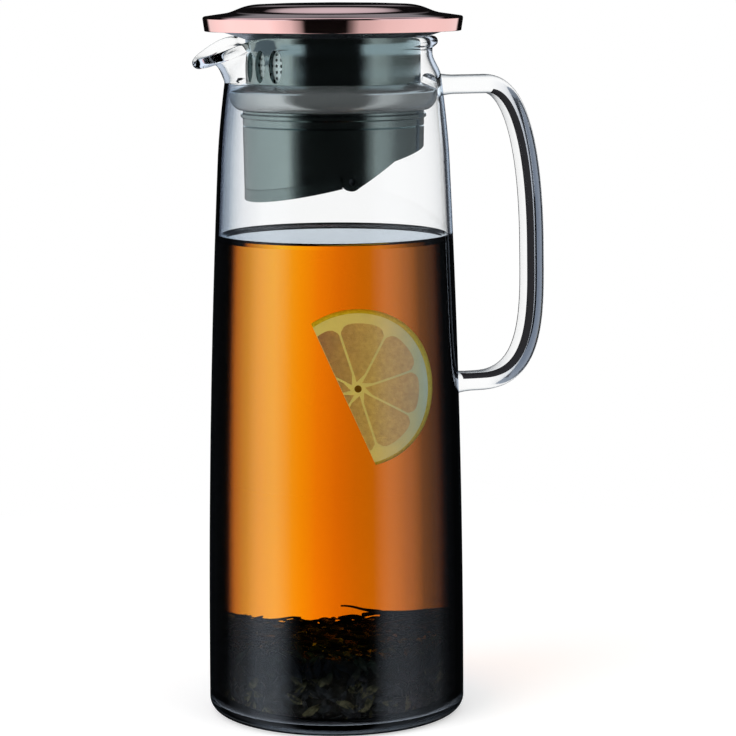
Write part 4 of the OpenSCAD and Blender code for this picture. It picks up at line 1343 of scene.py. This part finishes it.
@dataclass
class CappedStopper:
    """The plated cap, its black core, the slotted tube, the seal and the slanted valve cup."""

    form: JugForm = field(default_factory=JugForm)
    cap_radius: float = 48.5
    cap_draft: float = 0.8
    cap_low: float = 257.5
    band: float = 5.4
    rise: float = 1.4
    crown_foot: float = 38.6
    crown_radius: float = 31.5
    crown_height: float = 2.9
    dome: float = 0.8
    sheet: float = 0.8
    lip: float = 1.4
    tube_radius: float = 32.6
    tube_wall: float = 2.2
    cone_radius: float = 41.0
    cone_slope: float = 18.0
    rim_gap: float = 0.3
    seal_radius: float = 38.666
    seal_bore: float = 31.65
    seal_foot: float = 33.8
    seal_top: float = 238.35
    seal_low: float = 228.25
    seal_fall: float = 2.0
    seal_lip: float = 1.2
    step_z: float = 252.2
    step: float = 1.6
    clearance: float = 0.05
    turns: int = 192

    def cap_corners(self, inset: float) -> list[tuple[float, float, float]]:
        """Corners of the cap's outer line, moved in by a thickness, from the band's top to the axis."""
        edge_z = self.cap_low + self.band
        crown_z = edge_z + self.rise + self.crown_height
        return [(self.cap_radius - inset, edge_z - inset, 1.0 if inset == 0 else 0.4),
                (self.crown_foot, edge_z + self.rise - inset, 16.0),
                (self.crown_radius, crown_z - inset, 30.0),
                (self.crown_radius * 0.6, crown_z + self.dome * 0.62 - inset, 60.0),
                (0.0, crown_z + self.dome - inset, 0.0)]

    def cap(self) -> bpy.types.Object:
        """Builds the plated cap with its rolled-in lower lip."""
        low_in = self.cap_radius - self.cap_draft - self.sheet
        sheet_z = self.cap_low + self.sheet
        outside = rounded([(low_in - self.lip, self.cap_low, 0.0),
                           (self.cap_radius - self.cap_draft, self.cap_low, 0.3), *self.cap_corners(0.0)], 8)
        inside = rounded([(low_in - self.lip, sheet_z, 0.0), (low_in, sheet_z, 0.2),
                          *self.cap_corners(self.sheet)], 4)
        return turned_piece("plated_cap", outside + inside[::-1], True, self.turns, 40)

    def core(self) -> bpy.types.Object:
        """Builds the black core: the plate in the cap, the cone over the rim and the spigot in the tube."""
        bead_r = self.form.throat_radius - self.form.wall + self.form.bead + 0.1
        slope = math.tan(math.radians(self.cone_slope))
        middle = self.form.bead_z + (self.form.bead + self.rim_gap) / math.cos(math.radians(self.cone_slope))

        def cone(r: float) -> float:
            """Height of the cone's face at a radius."""
            return middle + (r - bead_r) * slope

        spigot = self.tube_radius - self.tube_wall - self.clearance
        plate = self.cap_low + self.sheet + self.clearance
        wide = self.cap_radius - self.cap_draft - self.sheet - self.clearance
        over_tube = cone(self.tube_radius) + self.clearance
        line = rounded([(0, plate, 0), (spigot - self.step, plate, 0.4),
                        (spigot - self.step, self.step_z, 0.3), (spigot, self.step_z, 0.3),
                        (spigot, over_tube, 0), (self.tube_radius, over_tube, 0.1),
                        (self.cone_radius, cone(self.cone_radius), 0.3), (self.cone_radius, plate, 0.3),
                        (wide, plate, 0.1), (wide, plate + 2, 0.3), (0, plate + 2, 0)], 4)
        return turned_piece("cap_core_black", line, False, self.turns, 35)

    def seal(self) -> bpy.types.Object:
        """Builds the silicone seal: flat top, round lip, long curve back to the cup."""
        edge_z = self.seal_top - self.seal_fall
        lip_r = self.seal_lip
        line = rounded([(self.seal_bore, self.seal_top, 0), (self.seal_bore, self.seal_low, 0.2),
                        (self.seal_foot, self.seal_low, 0.5),
                        (self.seal_foot + 0.4, self.seal_low + 0.6, 0)], 3)
        for t in spread(0.18, 0.9, 10):
            a = math.radians(90 * t)
            line.append((self.seal_foot + (self.seal_radius - self.seal_foot) * math.sin(a),
                         self.seal_low + (edge_z - 2 * lip_r - self.seal_low) * (1 - math.cos(a))))
        line += arc(self.seal_radius - lip_r, edge_z - lip_r, lip_r, -10, 66, 10)
        line.append((self.tube_radius + 0.1, self.seal_top))
        return turned_piece("neck_seal_lip", line, True, self.turns, 40)

    def build(self) -> None:
        """Builds and dresses the stopper."""
        rose = PlatedMetal("rose_gold_plate", (0.94, 0.58, 0.56), (0.90, 0.53, 0.50), 0.05, 0.03, grain=0.01)
        black = MouldedPlastic("black_core_plastic", (0.010, 0.012, 0.014), (0.006, 0.007, 0.009), 0.28, 0.12)
        smoked = MouldedPlastic("smoked_tube_plastic", (0.245, 0.31, 0.305), (0.215, 0.275, 0.27), 0.12, 0.05,
                                metallic=1.0, grain=0.04)
        cup = MouldedPlastic("smoked_cup_plastic", (0.245, 0.31, 0.305), (0.21, 0.27, 0.265), 0.13, 0.05,
                             metallic=1.0, grain=0.04)
        rubber = MouldedPlastic("silicone_rubber", (0.42, 0.455, 0.46), (0.37, 0.40, 0.405), 0.14, 0.06,
                                metallic=0.86, grain=0.06)
        steel = PlatedMetal("strainer_steel", (0.60, 0.72, 0.72), (0.52, 0.64, 0.64), 0.40, 0.10,
                            metallic=0.15)
        settle(dress(self.cap(), rose.make()), Body.STOPPER, ["cap_shell"])
        settle(dress(self.core(), black.make()), Body.STOPPER, ["cap_core"])
        settle(dress(self.seal(), rubber.make()), Body.SEAL, ["neck_seal"])
        pin = PlatedMetal("pin_steel", (0.05, 0.055, 0.06), (0.035, 0.04, 0.045), 0.30, 0.15)
        for node, name, bevel, finish, slot in (
                ("stopper_tube", "slotted_tube", 0.3, smoked, "smoked_plastic"),
                ("strainer_sleeve", "pierced_sleeve", 0.0, steel, "steel_mesh"),
                ("valve_cup", "slanted_cup", 0.25, cup, "smoked_cup"),
                ("flap_pin", "hinge_pin", 0.2, pin, "steel_pin")):
            settle(dress(refined_copy(node, name, bevel), finish.make()), Body.STOPPER, [node])


@dataclass
class RockingFlap:
    """The gravity flap under the cup with its steel weight."""

    edge_round: float = 0.3

    def build(self) -> None:
        """Builds and dresses the flap."""
        smoked = MouldedPlastic("flap_smoked_plastic", (0.20, 0.255, 0.25), (0.165, 0.215, 0.21), 0.18, 0.08,
                                metallic=1.0)
        steel = PlatedMetal("weight_steel", (0.60, 0.61, 0.62), (0.50, 0.51, 0.52), 0.24, 0.2)
        flap = refined_copy("pour_flap", "rocking_flap", self.edge_round)
        settle(dress(flap, smoked.make()), Body.FLAP, ["pour_flap"])
        weight = refined_copy("flap_weight", "flap_counterweight", self.edge_round)
        settle(dress(weight, steel.make()), Body.FLAP, ["flap_weight"])


@dataclass
class Studio:
    """Plain pale floor, soft lamps, a bright surround and the camera at the photograph's place."""

    azimuth: float = CAMERA_AZIMUTH
    pitch: float = 8.15
    distance: float = 1.0537
    height: float = 0.2817
    lens: float = 137.74
    turn_right: float = 0.68
    roll: float = 0.25
    floor_radius: float = 0.75
    key_power: float = 9.0
    fill_power: float = 6.0
    wall_panels: tuple = ((-180, 0.02), (-170, 0.05), (-158, 0.45), (-140, 0.80), (-116, 0.95),
                          (-60, 1.15), (-50, 0.25), (-41, 0.005), (38, 0.005), (46, 0.30), (56, 0.75),
                          (72, 0.62), (88, 0.24), (110, 0.20), (145, 0.18), (160, 0.04), (180, 0.02))
    band_panels: tuple = ((-180, 0.003), (-148, 0.003), (-142, 0.95), (-105, 1.25), (-60, 1.2), (-38, 0.8),
                          (-29, 0.35), (-25, 0.003), (12, 0.003), (17, 0.2), (24, 0.62), (50, 0.9), (90, 1.0),
                          (144, 0.98), (149, 0.003), (180, 0.003))
    upper_panels: tuple = ((-180, 1.0), (-44, 1.0), (-34, 0.01), (34, 0.01), (44, 1.0), (180, 1.0))
    inner_panels: tuple = ((-180, 0.75), (-160, 0.60), (-140, 0.35), (-80, 0.30), (-50, 0.01), (30, 0.01),
                           (50, 0.35), (130, 0.35), (146, 0.02), (157, 0.02), (164, 0.9), (180, 0.9))
    glare_panels: tuple = ((-180, 0.005), (-118, 0.01), (-108, 0.12), (-98, 0.28), (-88, 0.5), (-78, 1.1),
                           (-70, 1.35), (-56, 1.35), (-48, 0.8), (-40, 0.12), (-32, 0.003), (28, 0.003),
                           (34, 0.04), (42, 0.5), (50, 0.85), (60, 0.8), (72, 0.68), (82, 0.42), (92, 0.3),
                           (104, 0.22), (113, 0.08), (124, 0.02), (140, 0.005), (180, 0.005))
    skirt_panels: tuple = ((-180, 1.0), (-176.5, 1.0), (-174, 0.0), (174, 0.0), (176.5, 1.0), (180, 1.0))
    tea_rise: tuple = ((0.0, 1.2), (0.17, 1.2), (0.22, 0.03), (0.46, 0.03), (0.56, 0.95), (1.0, 0.95))
    crown_rise: tuple = ((0.0, 0.005), (0.50, 0.005), (0.60, 0.62), (0.72, 0.80), (1.0, 0.80))
    skirt_rise: tuple = ((0.0, 0.0), (0.20, 0.0), (0.24, 0.26), (0.33, 0.26), (0.37, 0.0), (1.0, 0.0))
    side_rise: tuple = ((0.0, 1.0), (0.50, 1.0), (0.64, 0.05), (0.88, 0.05), (0.96, 0.8), (1.0, 0.8))

    def camera(self) -> None:
        """Makes the camera."""
        data = bpy.data.cameras.new("studio_camera")
        data.lens = self.lens
        data.sensor_width = 36.0
        data.clip_start, data.clip_end = 0.05, 20.0
        camera = new_object("studio_camera", data)
        a = math.radians(self.azimuth)
        spin = (Matrix.Rotation(a - math.radians(self.turn_right), 4, "Z")
                @ Matrix.Rotation(math.radians(90 - self.pitch), 4, "X")
                @ Matrix.Rotation(-math.radians(self.roll), 4, "Z"))
        camera.matrix_world = Matrix.Translation((math.sin(a) * self.distance, -math.cos(a) * self.distance,
                                                  self.height)) @ spin
        bpy.context.scene.camera = camera

    def floor(self) -> None:
        """Makes the floor: a round sheet that takes the shadow and fades into the white surround."""
        rings = [(r, 0.0) for r in (0.0, 60.0, 150.0, 300.0, self.floor_radius / MM)]
        points, faces = turned(rings, False, 96)
        sheet = make_piece("studio_floor", points - np.array([0, 0, 0.0002]), faces, None)
        material, graph, surface, output = new_material("floor_paper")
        place = graph.add("ShaderNodeTexCoord").outputs["Object"]
        away = graph.add("ShaderNodeVectorMath", {0: place}, operation="LENGTH").outputs["Value"]
        fade = graph.between(away, 0.12, 0.42)
        tooth = place_group(graph, SurfaceGroups.mottle(), Size=0.0015, Contrast=0.6)
        paper = graph.ramp(tooth.outputs["Mask"], [(0.0, (0.76, 0.76, 0.765)), (1.0, (0.82, 0.82, 0.825))])
        graph.put_all(surface, Base_Color=paper, Roughness=0.9, Specular_IOR_Level=0.0)
        white = graph.add("ShaderNodeEmission", {"Color": (1.0, 1.0, 1.0), "Strength": 1.0})
        lift = graph.add("ShaderNodeEmission", {"Color": (1.0, 1.0, 1.0), "Strength": 0.40})
        lit = graph.add("ShaderNodeAddShader", {0: surface.outputs[0], 1: lift.outputs[0]})
        both = graph.add("ShaderNodeMixShader", {0: fade, 1: lit.outputs[0], 2: white.outputs[0]})
        mirrored = graph.math("MINIMUM", graph.add("ShaderNodeLightPath").outputs["Glossy Depth"], 1.0)
        clear = graph.add("ShaderNodeBsdfTransparent")
        every = graph.add("ShaderNodeMixShader", {0: mirrored, 1: both.outputs[0], 2: clear.outputs[0]})
        graph.put(output, "Surface", every.outputs[0])
        dress(sheet, material)

    def surround(self) -> None:
        """Makes the surround: white behind the object, and a studio of lit and dark panels in mirrors."""
        world = bpy.data.worlds.new("studio_surround")
        bpy.context.scene.world = world
        world.use_nodes = True
        graph = Graph(world.node_tree)
        path = graph.add("ShaderNodeLightPath").outputs
        way = graph.add("ShaderNodeTexCoord").outputs["Generated"]
        to_right, to_back, _ = camera_axes()
        front, right = (graph.add("ShaderNodeVectorMath", {0: way, 1: tuple(axis)},
                                  operation="DOT_PRODUCT").outputs["Value"] for axis in (-to_back, to_right))
        turn = graph.math("DIVIDE", graph.math("ARCTAN2", right, front), 2 * math.pi)
        bearing = graph.math("ADD", turn, 0.5)
        height = graph.add("ShaderNodeSeparateXYZ", {0: way}).outputs["Z"]

        def panels(stops: Sequence[tuple[float, float]]) -> bpy.types.NodeSocket:
            """Brightness round the object, by degrees to the right of the camera."""
            return graph.ramp(bearing, [(0.5 + d / 360, (v, v, v)) for d, v in stops], False)

        def blend(low: float, high: float, a: object, b: object) -> bpy.types.NodeSocket:
            """Passes from one ring of panels to another between two heights."""
            return graph.mix(graph.between(height, low, high), a, b)

        def rise(stops: Sequence[tuple[float, float]]) -> bpy.types.NodeSocket:
            """Brightness by height above the horizon."""
            return graph.ramp(height, [(z, (v * 0.88, v * 0.97, v * 1.06)) for z, v in stops], False)

        def over(back: object) -> bpy.types.NodeSocket:
            """Light from above the horizon, given what comes from behind the object."""
            behind = panels([(-180, 1), (-118, 1), (-105, 0), (105, 0), (118, 1), (180, 1)])
            every_side = graph.mix(behind, rise(self.side_rise), back)
            return graph.times(every_side, panels(self.upper_panels))

        skirt = graph.times(rise(self.skirt_rise), panels(self.skirt_panels))
        crown = graph.mix(1.0, rise(self.crown_rise), skirt, "ADD")
        direct = blend(-0.03, 0.01, panels(self.band_panels), over(crown))
        walled = blend(-0.03, 0.01, panels(self.wall_panels), over(rise(self.tea_rise)))
        crossings = path["Transmission Depth"]
        straight = graph.math("LESS_THAN", crossings, 0.5)
        behind_wall = graph.math("COMPARE", crossings, 4.0)
        behind_wall.node.inputs[2].default_value = 0.5
        bent = graph.times(panels(self.inner_panels), (0.84, 0.95, 1.12, 1.0))
        inside = graph.mix(straight, graph.mix(behind_wall, bent, walled), direct)
        sharp = graph.math("MULTIPLY", path["Is Singular Ray"], path["Is Reflection Ray"])
        glare = graph.times(panels(self.glare_panels), (0.82, 0.93, 1.08, 1.0))
        mirror = graph.mix(sharp, inside, glare)
        studio = graph.add("ShaderNodeBackground", {"Color": mirror, "Strength": 1.0})
        plain = graph.add("ShaderNodeBackground", {"Color": (1.0, 1.0, 1.0), "Strength": 0.55})
        white = graph.add("ShaderNodeBackground", {"Color": (1.0, 1.0, 1.0), "Strength": 1.0})
        seen = graph.math("MAXIMUM", path["Is Camera Ray"], path["Is Transmission Ray"])
        lit = graph.add("ShaderNodeMixShader", {0: seen, 1: plain.outputs[0], 2: white.outputs[0]})
        mirrored = graph.math("MINIMUM", path["Glossy Depth"], 1.0)
        every = graph.add("ShaderNodeMixShader", {0: mirrored, 1: lit.outputs[0], 2: studio.outputs[0]})
        output = graph.add("ShaderNodeOutputWorld")
        graph.put(output, "Surface", every.outputs[0])

    @staticmethod
    def lamp(name: str, azimuth: float, elevation: float, reach: float, size: float, power: float) -> None:
        """Adds a soft lamp that faces the object.

        Args:
            name: the lamp's name.
            azimuth: degrees round the object, as the camera's.
            elevation: degrees above the floor.
            reach: distance from the object, in metres.
            size: side of the lamp, in metres.
            power: power in watts.
        """
        data = bpy.data.lights.new(name, "AREA")
        data.shape = "SQUARE"
        data.size = size
        data.energy = power
        lamp = new_object(name, data)
        a, e = math.radians(azimuth), math.radians(elevation)
        away = Vector((math.sin(a) * math.cos(e), -math.cos(a) * math.cos(e), math.sin(e)))
        aim = Vector((0, 0, 0.13))
        lamp.matrix_world = (Matrix.Translation(away * reach + aim)
                             @ away.to_track_quat("Z", "Y").to_matrix().to_4x4())
        lamp.visible_camera = False
        lamp.visible_glossy = False
        lamp.visible_transmission = False

    def build(self) -> None:
        """Builds the studio."""
        self.camera()
        self.floor()
        self.surround()
        self.lamp("key_lamp", self.azimuth - 50, 45, 1.3, 0.9, self.key_power)
        self.lamp("fill_lamp", self.azimuth + 60, 35, 1.4, 1.1, self.fill_power)
        bpy.context.scene.view_settings.view_transform = "Standard"


def main() -> None:
    """Builds the tea maker and its studio in order."""
    logging.basicConfig(level=logging.INFO, format="%(name)s: %(message)s")
    Studio().build()
    Glassware().build()
    CappedStopper().build()
    RockingFlap().build()
    Contents().build()


if __name__ == "__main__":
    main()
